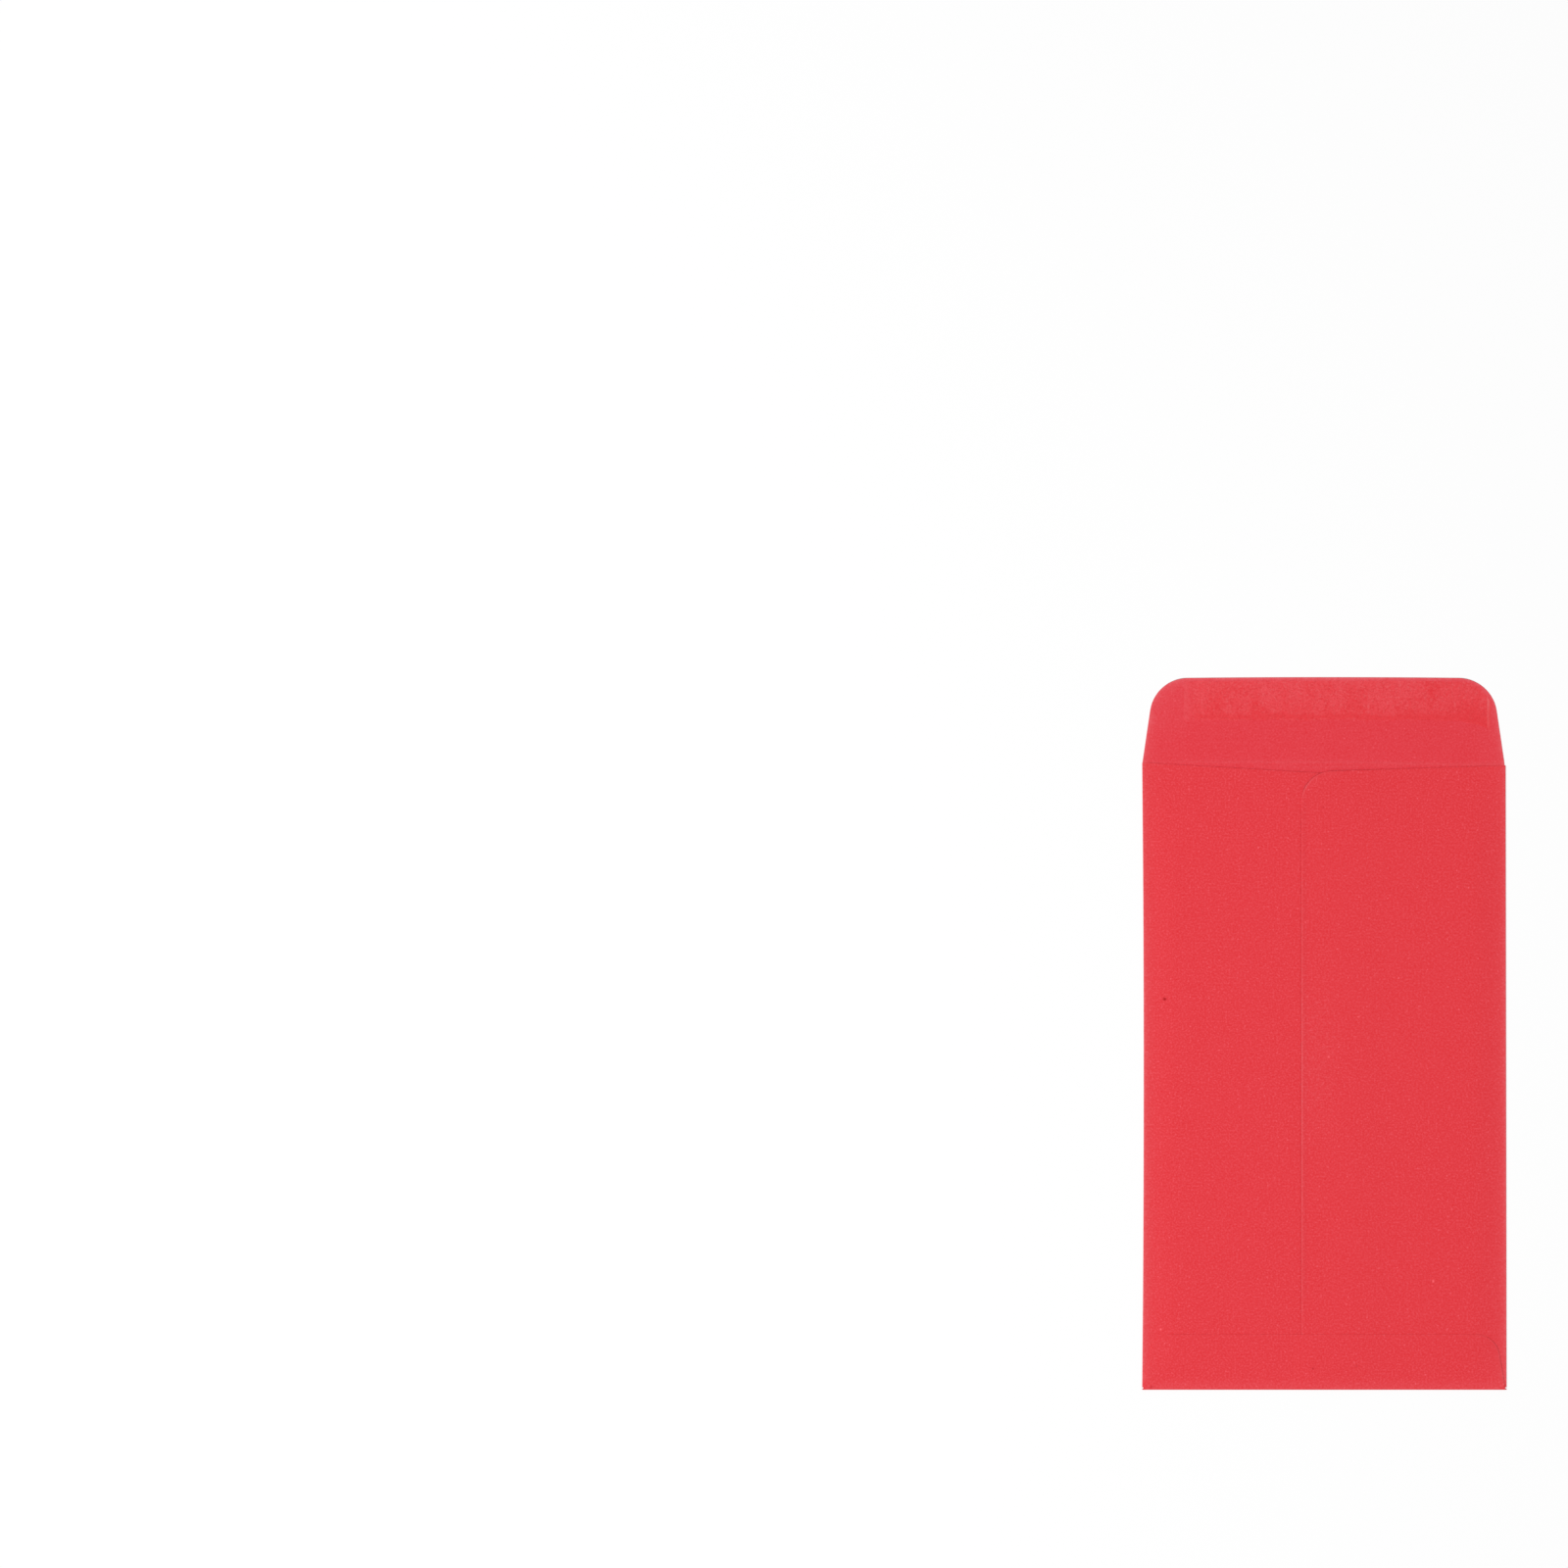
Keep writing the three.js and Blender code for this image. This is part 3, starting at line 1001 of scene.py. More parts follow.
@dataclass
class Pocket:
    """The front panel, the side folds and the two back panels, which are one wrapped sheet."""

    blank: Blank
    layers: Layers
    start: float = -81.35 * MM
    step: float = 3.0 * MM
    fold_facets: int = 12
    corner_radius: float = 8.2 * MM
    corner_facets: int = 24
    shoulder: dict[Side, float] = field(
        default_factory=lambda: {Side.LEFT: 81.9 * MM, Side.RIGHT: 81.15 * MM}
    )
    seam_top: dict[Side, float] = field(
        default_factory=lambda: {Side.LEFT: 78.7 * MM, Side.RIGHT: 79.4 * MM}
    )
    spring_steps_mm: tuple[float, ...] = (0.0, 0.3, 0.8, 1.5, 2.5, 3.8, 5.2, 6.8, 8.6)
    foot_steps_mm: tuple[float, ...] = (-1.4, -0.7, -0.35, -0.2, -0.1, 0.0, 0.1)
    upper_rest: float = 0.28
    # Seam and corner wear are partly pale cut fibre and partly a painted highlight where the cut edge faces the
    # key light.
    seam_wear_and_highlight: float = 0.10
    # Painted shadow at the foot of the right panel's seam edge.
    seam_shadow: float = 0.18
    corner_wear_and_highlight: float = 0.095
    # Painted shadow at the foot of the right panel's corner arc.
    corner_shade: float = 0.50
    throat_wear: float = 0.002
    # Painted shadow on the front panel's inside just above the throats.
    throat_shadow: float = 0.10
    # Partly pale wear, partly painted light that lifts the shade inside the open mouth.
    mouth_wear_and_light: float = 0.012

    @property
    def fold_radius(self) -> float:
        """The outside radius of a side fold, pressed down to the layers at the edge."""
        return self.layers.pressed / 2

    @property
    def fold_x(self) -> float:
        """How far from the middle a side fold starts."""
        return self.blank.half_width - self.fold_radius

    @property
    def fold_length(self) -> float:
        """The length of paper in a side fold."""
        return math.pi * (self.fold_radius - self.blank.paper / 2)

    def free_x(self, side: Side) -> float:
        """Where a back panel's free edge lies."""
        return self.blank.lap_end if side is Side.LEFT else self.blank.seam

    def flat_x(self, side: Side, x: Points) -> Points:
        """The place on the flat blank of a place across a back panel."""
        return side.value * (2 * self.fold_x + self.fold_length) - x

    def on_back(self, side: Side, x_mm: float, y_mm: float) -> Triple:
        """The place on the flat blank, in millimetres, of a place on a back panel's outside."""
        return side.value * (2 * self.fold_x + self.fold_length) / MM - x_mm, y_mm, 0.0

    def throat(self, side: Side) -> Points:
        """A back panel's upper edge, from its shoulder round to the start of its free edge.

        Args:
            side: Which of the two.

        Returns:
            Its points, seen from the back.
        """
        shoulder = np.array([side.value * self.fold_x, self.shoulder[side]])
        corner = np.array([self.free_x(side), self.seam_top[side]])
        below = corner - np.array([0.0, self.corner_radius])
        turned = round_corner(shoulder, corner, below, self.corner_radius, self.corner_facets)
        return np.vstack([shoulder, turned])

    def rows(self) -> Points:
        """The heights of the lines along the front panel.

        Returns:
            The heights, the lowest first.
        """
        closed = self.start - graded(-self.layers.closed_reach, 0.0, 1.4 * MM)[::-1]
        fine = (14.0, 12.0, *np.arange(10.4, 0.3, -0.2), 0.12)
        open_end = graded(float(closed[-1]), self.blank.crease_start, self.step, [gap * MM for gap in fine])
        return np.concatenate([closed, open_end[1:]])

    def columns(self, side: Side) -> Points:
        """The places of the lines across a back panel, from its fold to its free edge.

        Args:
            side: Which of the two.

        Returns:
            The places, seen from the back.
        """
        fold = side.value * self.fold_x
        free = self.free_x(side)
        corner = self.throat(side)[1:, 0]
        spring = fold - side.value * np.array(self.spring_steps_mm) * MM
        plain = graded(float(spring[-1]), float(corner[0]), self.step)
        if side is Side.LEFT:
            foot = self.blank.seam + np.array(self.foot_steps_mm) * MM
            under_corner = np.arange(self.blank.seam + 0.3 * MM, float(corner[0]), 0.2 * MM)
            plain = np.concatenate([plain[plain < self.blank.seam - 1.6 * MM], foot, under_corner])
        edge = free + side.value * np.array([0.12, 0.0]) * MM
        places = np.concatenate([spring, plain[1:], corner, edge])
        ordered = np.unique(np.round(places, 9))
        return ordered[::-1] if side is Side.RIGHT else ordered

    def wing(self, side: Side, rows: Points) -> Points:
        """Lays out a side fold and its back panel on the flat blank.

        Args:
            side: Which of the two.
            rows: The heights of the lines along the front panel.

        Returns:
            The patch, whose last line is the free edge and whose lines end at the throat.
        """
        shoulder = self.shoulder[side]
        extra = graded(float(rows[-1]), shoulder, 0.18 * MM)[1:]
        heights = np.concatenate([rows, extra])
        shares = (heights - self.start) / (shoulder - self.start)
        throat = self.throat(side)
        throat = throat if side is Side.LEFT else throat[::-1]
        in_fold = np.linspace(0.0, self.fold_length, self.fold_facets + 1)[:-1]
        places = [side.value * (self.fold_x + along) for along in in_fold]
        tops = [shoulder] * len(places)
        columns = self.columns(side)
        places += list(self.flat_x(side, columns))
        tops += list(np.interp(columns, throat[:, 0], throat[:, 1]))
        lines = []
        for place, top in zip(places, tops, strict=True):
            up = self.start + shares * (top - self.start)
            lines.append(np.column_stack([np.full(len(up), place), up]))
        return np.stack(lines)

    def place(self, flat: Points, depth: Points) -> Points:
        """Folds flat points of the pocket into place.

        Args:
            flat: The flat points.
            depth: How deep each lies in the paper, from its outside face.

        Returns:
            The points in the row frame.
        """
        side = np.sign(flat[:, 0])
        beyond = np.abs(flat[:, 0]) - self.fold_x
        y = flat[:, 1]
        turn = np.clip(beyond / self.fold_length, 0.0, 1.0) * math.pi
        radius = self.fold_radius - depth
        x = side * (self.fold_x + radius * np.sin(turn))
        z = self.fold_radius - radius * np.cos(turn)
        on_front = beyond <= 0.0
        x = np.where(on_front, flat[:, 0], x)
        z = np.where(on_front, depth, z)
        on_back = beyond > self.fold_length
        back_x = side * (self.fold_x - (beyond - self.fold_length))
        lifted = self.layers.lap(back_x) + self.layers.free_edge(back_x, y)
        height = self.layers.back(back_x, y) + np.where(side > 0, lifted, 0.0)
        x = np.where(on_back, back_x, x)
        z = np.where(on_back, height - depth, z)
        waist = self.blank.waist(y) * ease(-x, self.blank.side_start, self.blank.half_width)
        return np.column_stack([x + waist + self.flared(x, y), y, z])

    def flared(self, x: Points, y: Points) -> Points:
        """How far the right side spreads towards the closed end."""
        down = np.clip((self.blank.crease - y) / (self.blank.crease - self.blank.closed_end), 0.0, 1.0)
        return self.blank.flare * down * ease(x, self.blank.side_start, self.blank.half_width)

    def rim_wear(self, flat: Points, places: Points) -> Points:
        """The wear near the outline and the mouth, where painted light also lifts the shade, less painted
        shadow at the foot of the seam, the corner arc and the throats and painted shade at the closed end's
        corners.

        Args:
            flat: The flat points.
            places: Where they were folded to.

        Returns:
            How pale the paper has worn at each point, below 0 where shade is painted.
        """
        x, y, z = places.T
        out = np.where(x < 0, -self.blank.waist(y), self.flared(x, y))
        pale = rim_paleness(np.minimum(self.blank.half_width + out - np.abs(x), y - self.blank.closed_end))
        # The closed end's two corners get painted shade.
        pale = pale * (1.0 - self.upper_rest * ease(y, 20 * MM, 55 * MM)) - self.blank.corner_shade(places)
        back = z > 1.5 * self.blank.paper
        # Partly pale wear, partly painted light that lifts the shade inside the open mouth, on the front
        # panel's inside.
        mouth = self.mouth_wear_and_light * ease(y, 77 * MM, 79 * MM) * ~back
        # Painted shadow on the left back panel along the foot of the right panel's edge: the seam low down, the
        # corner arc high up.
        over = np.vstack([self.throat(Side.RIGHT), [self.blank.seam, self.blank.closed_end]])
        seam_shadow = self.seam_shadow * ease(y, 72 * MM, 66 * MM)
        corner_shade = self.corner_shade * ease(y, 72 * MM, 76 * MM)
        foot = fade(distance_to_lines(places[:, :2], [over]), 0.18 * MM, 1.0) * (seam_shadow + corner_shade)
        left_back = flat[:, 0] < -self.fold_x - self.fold_length
        # Painted shadow on the front panel's inside just above both throats.
        throats = [self.throat(side) for side in Side]
        shaded = fade(distance_to_lines(places[:, :2], throats), 0.20 * MM, self.throat_shadow)
        on_front = (np.abs(flat[:, 0]) < self.fold_x) & (y > 78 * MM)
        return pale + mouth - np.where(left_back, foot, 0.0) - np.where(on_front, shaded, 0.0)

    def build(self, paper: bpy.types.Material) -> bpy.types.Object:
        """Makes the wrapped sheet and hands it to the pocket.

        Args:
            paper: The paper's material.

        Returns:
            The piece.
        """
        sheet = FoldedSheet("pocket_wrap", self.blank.paper, self.place, self.rim_wear)
        rows = self.rows()
        half = graded(0.0, self.fold_x, self.step)
        across = np.concatenate([-half[:0:-1], half])
        sheet.add_patch(np.stack([np.column_stack([np.full(len(rows), x), rows]) for x in across]))
        for side in Side:
            patch = self.wing(side, rows)
            sheet.add_patch(patch)
            turn = -(self.corner_facets + 2)
            # The seam's and the corner arc's cuts carry pale wear that is partly a painted highlight.
            sheet.cuts += [
                Cut(patch[:turn, -1], self.throat_wear),
                Cut(patch[turn:, -1], self.corner_wear_and_highlight, 75.6 * MM, 3 * MM),
                Cut(patch[-1, ::-1], self.seam_wear_and_highlight, -10 * MM, 60 * MM),
            ]
        piece = sheet.build()
        return dress(piece, paper, "pocket", PANEL_NODES)


@dataclass
class BottomFlap:
    """The fold at the closed end and the flap that is glued up over both back panels."""

    blank: Blank
    layers: Layers
    tab: Tab = field(
        default_factory=lambda: Tab(
            fold_line=-82.0 * MM,
            root=-81.4 * MM,
            tip=-67.5 * MM,
            half_width={Side.LEFT: 47.35 * MM, Side.RIGHT: 47.5 * MM},
            taper=math.radians(9.8),
            corner_radius={Side.LEFT: 5.8 * MM, Side.RIGHT: 6.1 * MM},
        )
    )
    fold_facets: int = 12
    fold_flat: float = 2.0 * MM
    settle: float = 1.2 * MM
    step: float = 2.5 * MM
    side_wear: dict[Side, float] = field(default_factory=lambda: {Side.LEFT: 0.001, Side.RIGHT: 0.026})
    tip_wear: float = 0.006
    fold_wear: float = 0.036

    def height(self, x: Points, y: Points) -> Points:
        """The height of the flap's outside."""
        return self.layers.back(x, y) + self.blank.glue + self.blank.paper + self.layers.drape(x)

    def patch(self) -> Points:
        """Lays out the fold and the flap, with the fold's lines below the flap's root.

        Returns:
            The patch, one line for each height.
        """
        flap = self.tab.patch(self.step)
        root = flap[0, :, 0]
        share = root / np.where(root < 0, -root[0], root[-1])
        full = share * self.blank.half_width + self.blank.flare * np.clip(share, 0.0, 1.0)
        lines = []
        for step in range(self.fold_facets):
            along = step / self.fold_facets
            across = full + (root - full) * ease(np.array(along), 0.7, 1.0)
            down = self.tab.root - self.fold_flat * (1.0 - along)
            lines.append(np.column_stack([across, np.full(len(across), down)]))
        return np.concatenate([np.stack(lines), flap])

    def place(self, flat: Points, depth: Points) -> Points:
        """Folds flat points of the flap round the closed end.

        Args:
            flat: The flat points.
            depth: How deep each lies in the paper, from its outside face.

        Returns:
            The points in the row frame.
        """
        x, up = flat[:, 0], flat[:, 1]
        top = self.height(x, np.full(len(x), self.tab.root))
        turn = np.clip((up - self.tab.root) / self.fold_flat + 1.0, 0.0, 1.0) * math.pi
        radius = top / 2 - depth
        centre = self.blank.closed_end + top / 2
        y_round = centre - radius * np.sin(turn)
        z_round = top / 2 - radius * np.cos(turn)
        on_flap = up > self.tab.root
        blend = np.clip((up - self.tab.root) / self.settle, 0.0, 1.0)
        y_flap = up + (centre - self.tab.root) * (1.0 - blend)
        y = np.where(on_flap, y_flap, y_round)
        z = np.where(on_flap, self.height(x, up) - depth, z_round)
        return np.column_stack([x, y, z])

    def rim_wear(self, flat: Points, places: Points) -> Points:
        """The wear near the pocket's sides and, more softly, near its closed end, less the painted shade at the
        closed end's corners.

        Args:
            flat: The flat points.
            places: Where they were folded to.

        Returns:
            How pale the paper has worn at each point, below 0 where shade is painted.
        """
        on_fold = fade(places[:, 1] - self.blank.closed_end, 1.0 * MM, self.fold_wear)
        on_side = rim_paleness(self.blank.half_width - np.abs(places[:, 0]))
        # Painted shade at the closed end's two corners.
        return np.maximum(on_side, on_fold) - self.blank.corner_shade(places)

    def unfold(self, flat: Points) -> Points:
        """The place on the whole blank, where the flap lies beyond the closed end."""
        return np.column_stack([flat[:, 0], 2 * self.blank.closed_end - flat[:, 1]])

    def build(self, paper: bpy.types.Material) -> bpy.types.Object:
        """Makes the fold with its flap and hands it to the pocket.

        Args:
            paper: The paper's material.

        Returns:
            The piece.
        """
        sheet = FoldedSheet("bottom_flap_and_fold", self.blank.paper, self.place, self.rim_wear)
        patch = self.patch()
        sheet.add_patch(patch)
        sheet.cuts = [
            Cut(patch[:, 0], self.side_wear[Side.LEFT]),
            Cut(patch[:, -1], self.side_wear[Side.RIGHT]),
            Cut(patch[-1], self.tip_wear),
        ]
        sheet.unfold = self.unfold
        piece = sheet.build()
        return dress(piece, paper, "pocket", ("bottom_fold", "bottom_flap"))


@dataclass
class Glue:
    """The dried glue in the centre seam and under the bottom flap."""

    blank: Blank
    layers: Layers
    step: float = 2.0 * MM
    seam_margin: float = 2.0 * MM
    seam_start: float = -80.35 * MM
    seam_end: float = 70.7 * MM
    flap_reach: float = 42.3 * MM
    flap_start: float = -79.85 * MM
    flap_end: float = -69.0 * MM

    def _band(
        self,
        name: str,
        node: str,
        corners: tuple[float, float, float, float],
        lift: Callable[[Points], Points],
        finish: bpy.types.Material,
    ) -> bpy.types.Object:
        """Lays a band of glue over the back panels.

        Args:
            name: The name of the piece.
            node: The CAD node that it stands for.
            corners: Its left, right, lower and upper edges.
            lift: How far the layer under it is lifted, across the pocket.
            finish: The glue's material.

        Returns:
            The piece.
        """

        def place(flat: Points, depth: Points) -> Points:
            """Lays the glue on the back, lifted where the layer under it is."""
            x, y = flat[:, 0], flat[:, 1]
            return np.column_stack([x, y, self.layers.back(x, y) + lift(x) + depth])

        left, right, low, high = corners
        sheet = FoldedSheet(name, self.blank.glue, place, unworn)
        rows = graded(low, high, self.step)
        columns = graded(left, right, self.step / 4)
        patch = np.stack([np.column_stack([np.full(len(rows), x), rows]) for x in columns])
        sheet.add_patch(patch)
        sheet.cuts = [Cut(patch[0]), Cut(patch[-1]), Cut(patch[:, 0]), Cut(patch[:, -1])]
        return dress(sheet.build(), finish, "pocket", (node,))

    def build(self, finish: bpy.types.Material) -> list[bpy.types.Object]:
        """Makes both bands of glue.

        Args:
            finish: The glue's material.

        Returns:
            The two pieces.
        """
        left, right = self.blank.seam + self.seam_margin, self.blank.lap_end - self.seam_margin
        seam = (left, right, self.seam_start, self.seam_end)
        flap = (-self.flap_reach, self.flap_reach, self.flap_start, self.flap_end)
        return [
            self._band("seam_glue_line", "seam_glue", seam, np.zeros_like, finish),
            self._band("bottom_flap_glue_line", "bottom_flap_glue", flap, self.layers.drape, finish),
        ]


@dataclass
class FlapCrease:
    """The scored strip that bends between the pocket and the seal flap."""

    blank: Blank
    bead_height: float = 0.05 * MM
    bead_half_width: float = 0.4 * MM
    start_half_width: float = 47.25 * MM
    bend_rows: int = 25
    step: float = 2.5 * MM
    end_shares: tuple[float, ...] = (0.05, 0.02, 0.008)
    # The crease's paleness is partly broken fibre and partly a painted highlight where the bead catches the
    # light.
    crease_wear_and_highlight: float = 0.027
    crease_stray: float = 0.6 * MM

    def crease_line(self, x: Points) -> Points:
        """Where the scored line lies: straight on the left, and straying into the mouth on the right."""
        return self.blank.crease - self.crease_stray * ease(x, -1 * MM, 38 * MM)

    def patch(self) -> Points:
        """Lays out the strip, with close lines where it bends.

        Returns:
            The patch, one line for each height.
        """
        blank, bead = self.blank, self.bead_half_width
        lower = graded(blank.crease_start, blank.crease - bead, 0.1 * MM)[:-1]
        bend = np.linspace(blank.crease - bead, blank.crease + bead, self.bend_rows)
        upper = graded(blank.crease + bead, blank.crease_end, 0.2 * MM)[1:]
        rows = np.concatenate([lower, bend, upper])
        narrowing = (blank.crease_end - blank.crease) * math.tan(blank.flap_taper)
        known = [blank.crease_start, blank.crease, blank.crease_end]
        half = graded(0.0, 1.0, self.step / blank.half_width, self.end_shares)
        across = [(Side.LEFT, share) for share in half[:0:-1]] + [(Side.RIGHT, share) for share in half]
        columns = []
        for side, share in across:
            wide = blank.flap_half_width[side]
            widths = np.interp(rows, known, [max(self.start_half_width, wide), wide, wide - narrowing])
            columns.append(np.column_stack([side.value * share * widths, rows]))
        return np.stack(columns).transpose(1, 0, 2)

    def place(self, flat: Points, depth: Points) -> Points:
        """Lays the strip on the table, with its bead pressed up from below.

        Args:
            flat: The flat points.
            depth: How deep each lies in the paper, from its outside face.

        Returns:
            The points in the row frame.
        """
        from_crease = np.abs(flat[:, 1] - self.crease_line(flat[:, 0]))
        bead = self.bead_height * ease(from_crease, self.bead_half_width, 0.0)
        return np.column_stack([flat, depth + bead])

    def rim_wear(self, flat: Points, places: Points) -> Points:
        """The wear near the strip's ends and on the crease itself, where the fibres are broken, with a painted
        highlight where the bead catches the light.

        Args:
            flat: The flat points.
            places: Where they were folded to.

        Returns:
            How pale the paper has worn at each point, below 0 where shade is painted.
        """
        x, y = places[:, 0], places[:, 1]
        on_crease = fade(np.abs(y - self.crease_line(x)), 0.35 * MM, self.crease_wear_and_highlight)
        on_crease *= 1.0 - 0.5 * ease(x, -36 * MM, -43 * MM)
        return rim_paleness(self.start_half_width - np.abs(x)) + on_crease

    def build(self, paper: bpy.types.Material) -> bpy.types.Object:
        """Makes the strip, lying flat, and ties it to neither body.

        Args:
            paper: The paper's material.

        Returns:
            The piece.
        """
        sheet = FoldedSheet("crease_strip", self.blank.paper, self.place, self.rim_wear)
        patch = self.patch()
        sheet.add_patch(patch)
        sheet.cuts = [Cut(patch[:, 0]), Cut(patch[:, -1])]
        sheet.roll_drop = 0.0
        piece = sheet.build()
        dress(piece, paper, "", ("flap_crease",))
        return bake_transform(piece)


@dataclass
class SealFlap:
    """The seal flap beyond its crease, and the gum that dried on its inside."""

    blank: Blank
    tip: float = 104.18 * MM
    bow: float = 0.18 * MM
    bow_reach: float = 36 * MM
    corner_radius: dict[Side, float] = field(
        default_factory=lambda: {Side.LEFT: 9.8 * MM, Side.RIGHT: 10.0 * MM}
    )
    halo: float = 0.011
    step: float = 2.0 * MM
    gum_left: float = -36.6 * MM
    gum_right: float = 43.5 * MM
    gum_top: float = 103.2 * MM
    gum_low: float = 93.0 * MM
    gum_run_drop: float = 2.65 * MM
    gum_run_length: float = 11.4 * MM
    gum_film: float = 0.045 * MM
    gum_step: float = 0.5 * MM
    gum_end_gaps_mm: tuple[float, ...] = (1.2, 1.05, 0.95, 0.85, 0.75, 0.6, 0.5, 0.35, 0.2, 0.1)
    gum_lip_shares: tuple[float, ...] = (0.0, 0.015, 0.03, 0.045, 0.06, 0.075, 0.09, 0.11, 0.15)
    gum_top_shares: tuple[float, ...] = (0.95, 0.975, 1.0)
    sink: float = 0.004 * MM
    feather_length: float = 4.6 * MM
    left_crust: float = 0.005
    tip_crust: float = 0.016
    end_crust: float = 0.072
    end_crust_gain: float = 0.040

    def tab(self, margin: float = 0.0) -> Tab:
        """The flap's outline, or the same form inside it.

        Args:
            margin: How far inside, all round.

        Returns:
            The outline.
        """
        return Tab(
            fold_line=self.blank.crease,
            root=self.blank.crease_end,
            tip=self.tip - margin,
            half_width={side: wide - margin for side, wide in self.blank.flap_half_width.items()},
            taper=self.blank.flap_taper,
            corner_radius={side: radius - margin for side, radius in self.corner_radius.items()},
        )

    def bowed(self, flat: Points) -> Points:
        """The flap's flat points with its tip drawn in a little towards its corners."""
        up = ease(flat[:, 1], self.blank.crease_end, self.tip)
        return flat - np.column_stack([np.zeros(len(flat)), self.bow * up * (flat[:, 0] / self.bow_reach) ** 2])

    def build_flap(self, paper: bpy.types.Material) -> bpy.types.Object:
        """Makes the flap and hands it to its body.

        Args:
            paper: The paper's material.

        Returns:
            The piece.
        """
        tab = self.tab()
        outline = tab.outline()
        cut = self.bowed(outline)

        def lay(flat: Points, depth: Points) -> Points:
            """Lays the flap on the table."""
            return np.column_stack([self.bowed(flat), depth])

        def rim_wear(flat: Points, places: Points) -> Points:
            """The wear near the flap's outline and the pale halo at the gum's left end.

            Args:
                flat: The flat points.
                places: Where they were folded to.

            Returns:
                How pale the paper has worn at each point, below 0 where shade is painted.
            """
            x, y = places[:, 0], places[:, 1]
            beside = ease(x, self.gum_left + 3 * MM, self.gum_left - 1 * MM) * ease(y, 87 * MM, 94 * MM)
            return rim_paleness(distance_to_lines(places[:, :2], [cut])) + self.halo * beside

        sheet = FoldedSheet("seal_flap_panel", self.blank.paper, lay, rim_wear)
        sheet.add_patch(tab.patch(self.step))
        sheet.cuts = [Cut(outline)]
        sheet.roll_drop = 0.0
        piece = sheet.build()
        return dress(piece, paper, "flap", ("seal_flap",))

    def gum_edges(self, x: Points) -> tuple[Points, Points]:
        """The gum's lower and upper edge at places across the flap.

        Args:
            x: The places.

        Returns:
            The lower edge, which wanders and runs down at its right end, and the upper one.
        """
        run = np.clip((x - self.gum_right + self.gum_run_length) / self.gum_run_length, 0.0, 1.0)
        wander = 0.10 * np.sin(x / (2.9 * MM)) + 0.07 * np.sin(x / (1.1 * MM) + 1.3)
        low = self.gum_low + wander * MM - self.gum_run_drop * run**2
        tab = self.tab(self.tip - self.gum_top)
        left, right = (tab.edge(side)[::-1] for side in Side)
        high = np.where(
            x < 0, np.interp(-x, left[:, 0], left[:, 1]), np.interp(x, right[:, 0], right[:, 1])
        )
        return low, high + 0.08 * MM * np.sin(x / (1.9 * MM))

    def gum_relief(self, x: Points, y: Points) -> Points:
        """The film's relief: lumpy, with a bead along its lower edge and a feathered left end.

        Args:
            x: The places across the pocket.
            y: The places along it.

        Returns:
            The share of its full thickness at each place.
        """
        low, high = self.gum_edges(x)
        ends = ease(x, self.gum_left, self.gum_left + 1.2 * MM)
        edges = ease(high - y, 0.0, 0.8 * MM) * ends
        bead = np.exp(-(((y - low) / MM - 0.45) ** 2) / 0.18)
        lumps = 0.5 + 0.3 * np.sin(x / (1.7 * MM) + 0.4 * y / MM) * np.sin(y / (1.3 * MM) - 0.3 * x / MM)
        return 0.12 + 0.5 * lumps * edges + 0.55 * bead

    def build_gum(self, finish: bpy.types.Material) -> bpy.types.Object:
        """Makes the gum film on the flap and hands it to the flap's body.

        Args:
            finish: The gum's material.

        Returns:
            The piece.
        """
        paper = self.blank.paper

        def place(flat: Points, depth: Points) -> Points:
            """Lays the film on the flap's inside, a hair's breadth into the paper."""
            relief = self.gum_relief(flat[:, 0], flat[:, 1])
            return np.column_stack([self.bowed(flat), paper - self.sink + depth * relief])

        sheet = FoldedSheet("gum_film", self.gum_film, place, unworn)
        gaps = [gap * MM for gap in self.gum_end_gaps_mm]
        columns = graded(self.gum_left, self.gum_right, self.gum_step, gaps)
        low, high = self.gum_edges(columns)
        shares = np.array([*self.gum_lip_shares, *np.linspace(0.2, 0.92, 13), *self.gum_top_shares])
        lines = []
        for x, bottom, top in zip(columns, low, high, strict=True):
            lines.append(np.column_stack([np.full(len(shares), x), bottom + shares * (top - bottom)]))
        sheet.add_patch(np.stack(lines))
        # A cut of no length: the film's rim is left square and unworn.
        sheet.cuts = [Cut(sheet.flat[0] + np.zeros((2, 2)))]
        sheet.roll_drop = 0.0
        piece = sheet.build()
        self._mark_gum(piece.data)
        return dress(piece, finish, "flap", ("gum_strip",))

    def _mark_gum(self, mesh: bpy.types.Mesh) -> None:
        """Marks where the gum pooled, where it thins out, and the pale crusts at its ends and its tip.

        Args:
            mesh: The film's mesh.
        """
        places = np.array([vertex.co for vertex in mesh.vertices])
        x, y = places[:, 0], places[:, 1]
        low, high = self.gum_edges(x)
        run = ease(x, self.gum_right - self.gum_run_length, self.gum_right - 3 * MM)
        right = ease(x, 4 * MM, 16 * MM)
        from_line = (y - low) / MM - (0.75 - 0.30 * right)
        line = np.exp(-(from_line**2) / np.where(from_line < 0.0, 0.10 + 0.10 * right, 0.34 + 0.26 * right))
        pool = np.clip(line + 0.8 * run * ease(y - low, 3.6 * MM, 1.0 * MM), 0.0, 1.0)
        sag = 0.34 * ease(y, 99.5 * MM, 94.0 * MM) + 0.20 * ease(x, 22 * MM, 38 * MM)
        left = self.left_crust * ease(x, self.gum_left + 2.0 * MM, self.gum_left + 1.2 * MM)
        tip = fade(high - y, 1.2 * MM, self.tip_crust)
        end = ease(x, self.gum_right - 0.95 * MM, self.gum_right - 0.80 * MM)
        end *= 1.0 - 0.75 * ease(x, self.gum_right - 0.55 * MM, self.gum_right)
        crust = self.end_crust + self.end_crust_gain * ease(y, 94.5 * MM, 97 * MM)
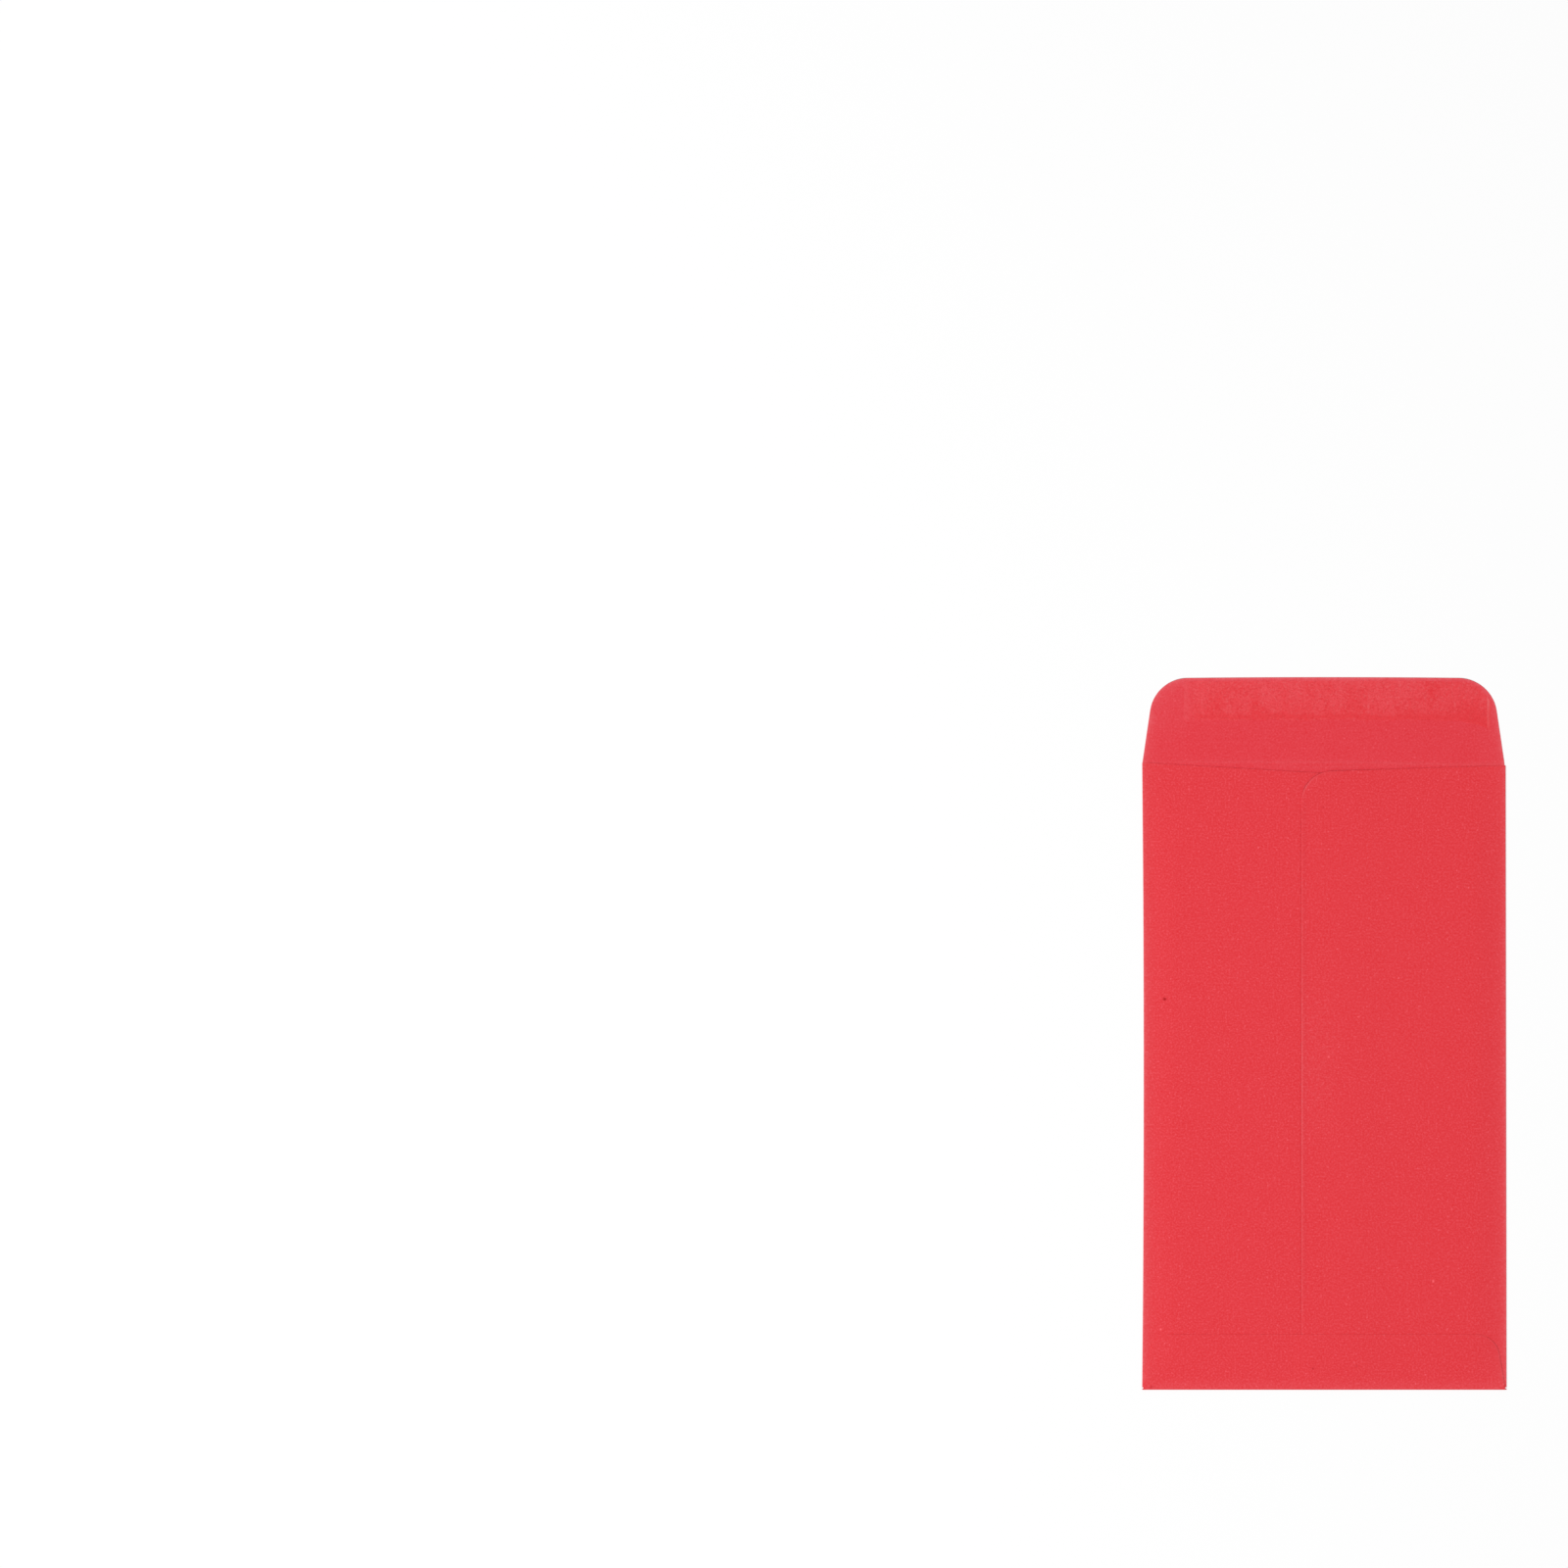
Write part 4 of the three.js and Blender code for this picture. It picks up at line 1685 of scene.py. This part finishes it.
        end *= (0.5 + 0.5 * ease(y, low.min(), low.min() + 1.6 * MM)) * crust
        FoldedSheet.mark(mesh, "pool", np.clip(pool + sag, 0.0, 1.0))
        FoldedSheet.mark(mesh, "crust", end + left + tip)
        FoldedSheet.mark(mesh, "film", ease(x, self.gum_left, self.gum_left + self.feather_length))


@dataclass
class Studio:
    """A plain white table under soft light, and the camera of the photograph."""

    frame_px: float = 1600.0
    metres_per_px: float = 0.25606 * MM
    origin_px: tuple[float, float] = (1350.9, 1097.85)
    camera_height: float = 3.0
    sensor_mm: float = 36.0
    floor_size: float = 12.0
    floor_height: float = -0.05 * MM
    floor_glow: float = 0.75
    floor_color: Color = (0.94, 0.94, 0.94)
    key_place: Triple = (-0.675, -0.075, 1.35)
    key_size: float = 0.75
    key_power: float = 16.4
    sky: float = 0.54

    def build_camera(self) -> bpy.types.Object:
        """Sets the camera straight over the middle of the photograph's frame.

        Returns:
            The camera.
        """
        wide = self.frame_px * self.metres_per_px
        data = bpy.data.cameras.new("photo_camera")
        data.sensor_width = self.sensor_mm
        data.lens = self.sensor_mm * self.camera_height / wide
        camera = bpy.data.objects.new("photo_camera", data)
        middle = self.frame_px / 2
        across = (middle - self.origin_px[0]) * self.metres_per_px
        along = (self.origin_px[1] - middle) * self.metres_per_px
        camera.location = (across, along, self.camera_height)
        bpy.context.scene.collection.objects.link(camera)
        bpy.context.scene.camera = camera
        return camera

    def build_floor(self) -> bpy.types.Object:
        """Lays the white table, which keeps the envelope's soft shadow.

        Returns:
            The table.
        """
        half = self.floor_size / 2
        mesh = bpy.data.meshes.new("table")
        corners = [(-half, -half), (half, -half), (half, half), (-half, half)]
        mesh.from_pydata([(x, y, self.floor_height) for x, y in corners], [], [(0, 1, 2, 3)])
        floor = bpy.data.objects.new("table", mesh)
        bpy.context.scene.collection.objects.link(floor)
        bench = Bench(bpy.data.materials.new("white_table"))
        diffuse = bench.node("ShaderNodeBsdfDiffuse")
        bench.feed(diffuse.inputs["Color"], (*self.floor_color, 1.0))
        glow = bench.node("ShaderNodeEmission")
        bench.feed(glow.inputs["Strength"], 1.0)
        mixed = bench.node("ShaderNodeMixShader")
        bench.feed(mixed.inputs[0], bench.product(bench.seen(), self.floor_glow))
        bench.feed(mixed.inputs[1], diffuse.outputs["BSDF"])
        bench.feed(mixed.inputs[2], glow.outputs["Emission"])
        output = bench.node("ShaderNodeOutputMaterial")
        bench.feed(output.inputs["Surface"], mixed.outputs["Shader"])
        mesh.materials.append(bench.owner)
        return floor

    def build_sky(self) -> None:
        """Sets an even sky that lights softly and shows white."""
        world = bpy.data.worlds.new("studio_sky")
        bpy.context.scene.world = world
        bench = Bench(world)
        background = bench.node("ShaderNodeBackground")
        bench.feed(background.inputs["Strength"], bench.ramp(bench.seen(), 0.0, 1.0, self.sky, 1.0))
        output = bench.node("ShaderNodeOutputWorld")
        bench.feed(output.inputs["Surface"], background.outputs["Background"])

    def build_key(self) -> bpy.types.Object:
        """Hangs the soft key light at the lower left.

        Returns:
            The light.
        """
        data = bpy.data.lights.new("soft_key", "AREA")
        data.shape = "SQUARE"
        data.size = self.key_size
        data.energy = self.key_power
        key = bpy.data.objects.new("soft_key", data)
        key.location = self.key_place
        key.rotation_euler = (-Vector(self.key_place)).to_track_quat("-Z", "Y").to_euler()
        bpy.context.scene.collection.objects.link(key)
        return key

    def build(self) -> None:
        """Builds the whole studio."""
        bpy.context.scene.view_settings.view_transform = "Standard"
        self.build_camera()
        self.build_floor()
        self.build_sky()
        self.build_key()


def stray_fibres(pocket: Pocket, blank: Blank) -> list[Fleck]:
    """Lists the stray fibres that catch the eye on the back panels and the bottom flap, and a dark patch at the
    left end of the closed-end fold.

    Args:
        pocket: The pocket, which knows where its back panels lie on the blank.
        blank: The sizes of the blank.

    Returns:
        The fibres.
    """
    beyond_end = 2 * blank.closed_end / MM
    return [
        Fleck(Speck.DARK, pocket.on_back(Side.LEFT, -42.0, 20.1), (0.80, 0.68, 0.45)),
        Fleck(Speck.DARK, pocket.on_back(Side.RIGHT, -0.2, 70.2), (0.50, 0.44, 0.45), 0.26),
        Fleck(Speck.DARK, (-2.9, beyond_end + 76.4, 0.0), (0.52, 0.46, 0.45), 0.55),
        Fleck(Speck.DARK, (8.5, beyond_end + 75.8, 0.0), (0.52, 0.46, 0.45), 0.40),
        # A wide dark patch that darkens the bottom flap at the left end of the closed-end fold.
        Fleck(Speck.DARK, (-45.0, beyond_end + 81.0, 0.0), (0.90, 0.50, 0.45), 0.40),
        Fleck(Speck.PALE, pocket.on_back(Side.RIGHT, -4.8, 40.2), (0.40, 0.52, 0.45), 0.45),
        Fleck(Speck.PALE, pocket.on_back(Side.RIGHT, -4.2, 40.6), (0.66, 0.22, 0.45), 0.36),
        Fleck(Speck.PALE, pocket.on_back(Side.RIGHT, 9.0, 15.5), (0.58, 0.36, 0.45), 0.64),
        Fleck(Speck.PALE, pocket.on_back(Side.RIGHT, 1.2, 5.0), (0.42, 0.52, 0.45), 0.80),
        Fleck(Speck.PALE, pocket.on_back(Side.RIGHT, 28.4, -53.6), (0.46, 0.60, 0.45)),
        Fleck(Speck.PALE, pocket.on_back(Side.LEFT, -42.8, -66.2), (0.46, 0.46, 0.45)),
        Fleck(Speck.PALE, pocket.on_back(Side.RIGHT, 5.8, -59.6), (0.46, 0.46, 0.45), 0.56),
    ]


def main() -> None:
    """Builds the studio and every piece of the envelope."""
    logging.basicConfig(level=logging.INFO, format="%(name)s: %(message)s")
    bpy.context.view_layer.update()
    Studio().build()
    blank = Blank()
    layers = Layers(blank)
    pocket = Pocket(blank, layers)
    paper = PaperFinish().material(pocket.on_back(Side.RIGHT, -2.0, 4.0), stray_fibres(pocket, blank))
    flap = SealFlap(blank)
    pieces = [
        pocket.build(paper),
        BottomFlap(blank, layers).build(paper),
        FlapCrease(blank).build(paper),
        flap.build_flap(paper),
    ]
    pieces.append(flap.build_gum(GumFinish().material()))
    pieces += Glue(blank, layers).build(GlueFinish().material())
    for piece in pieces:
        log.info("%s: %d faces", piece.name, len(piece.data.polygons))


if __name__ == "__main__":
    main()
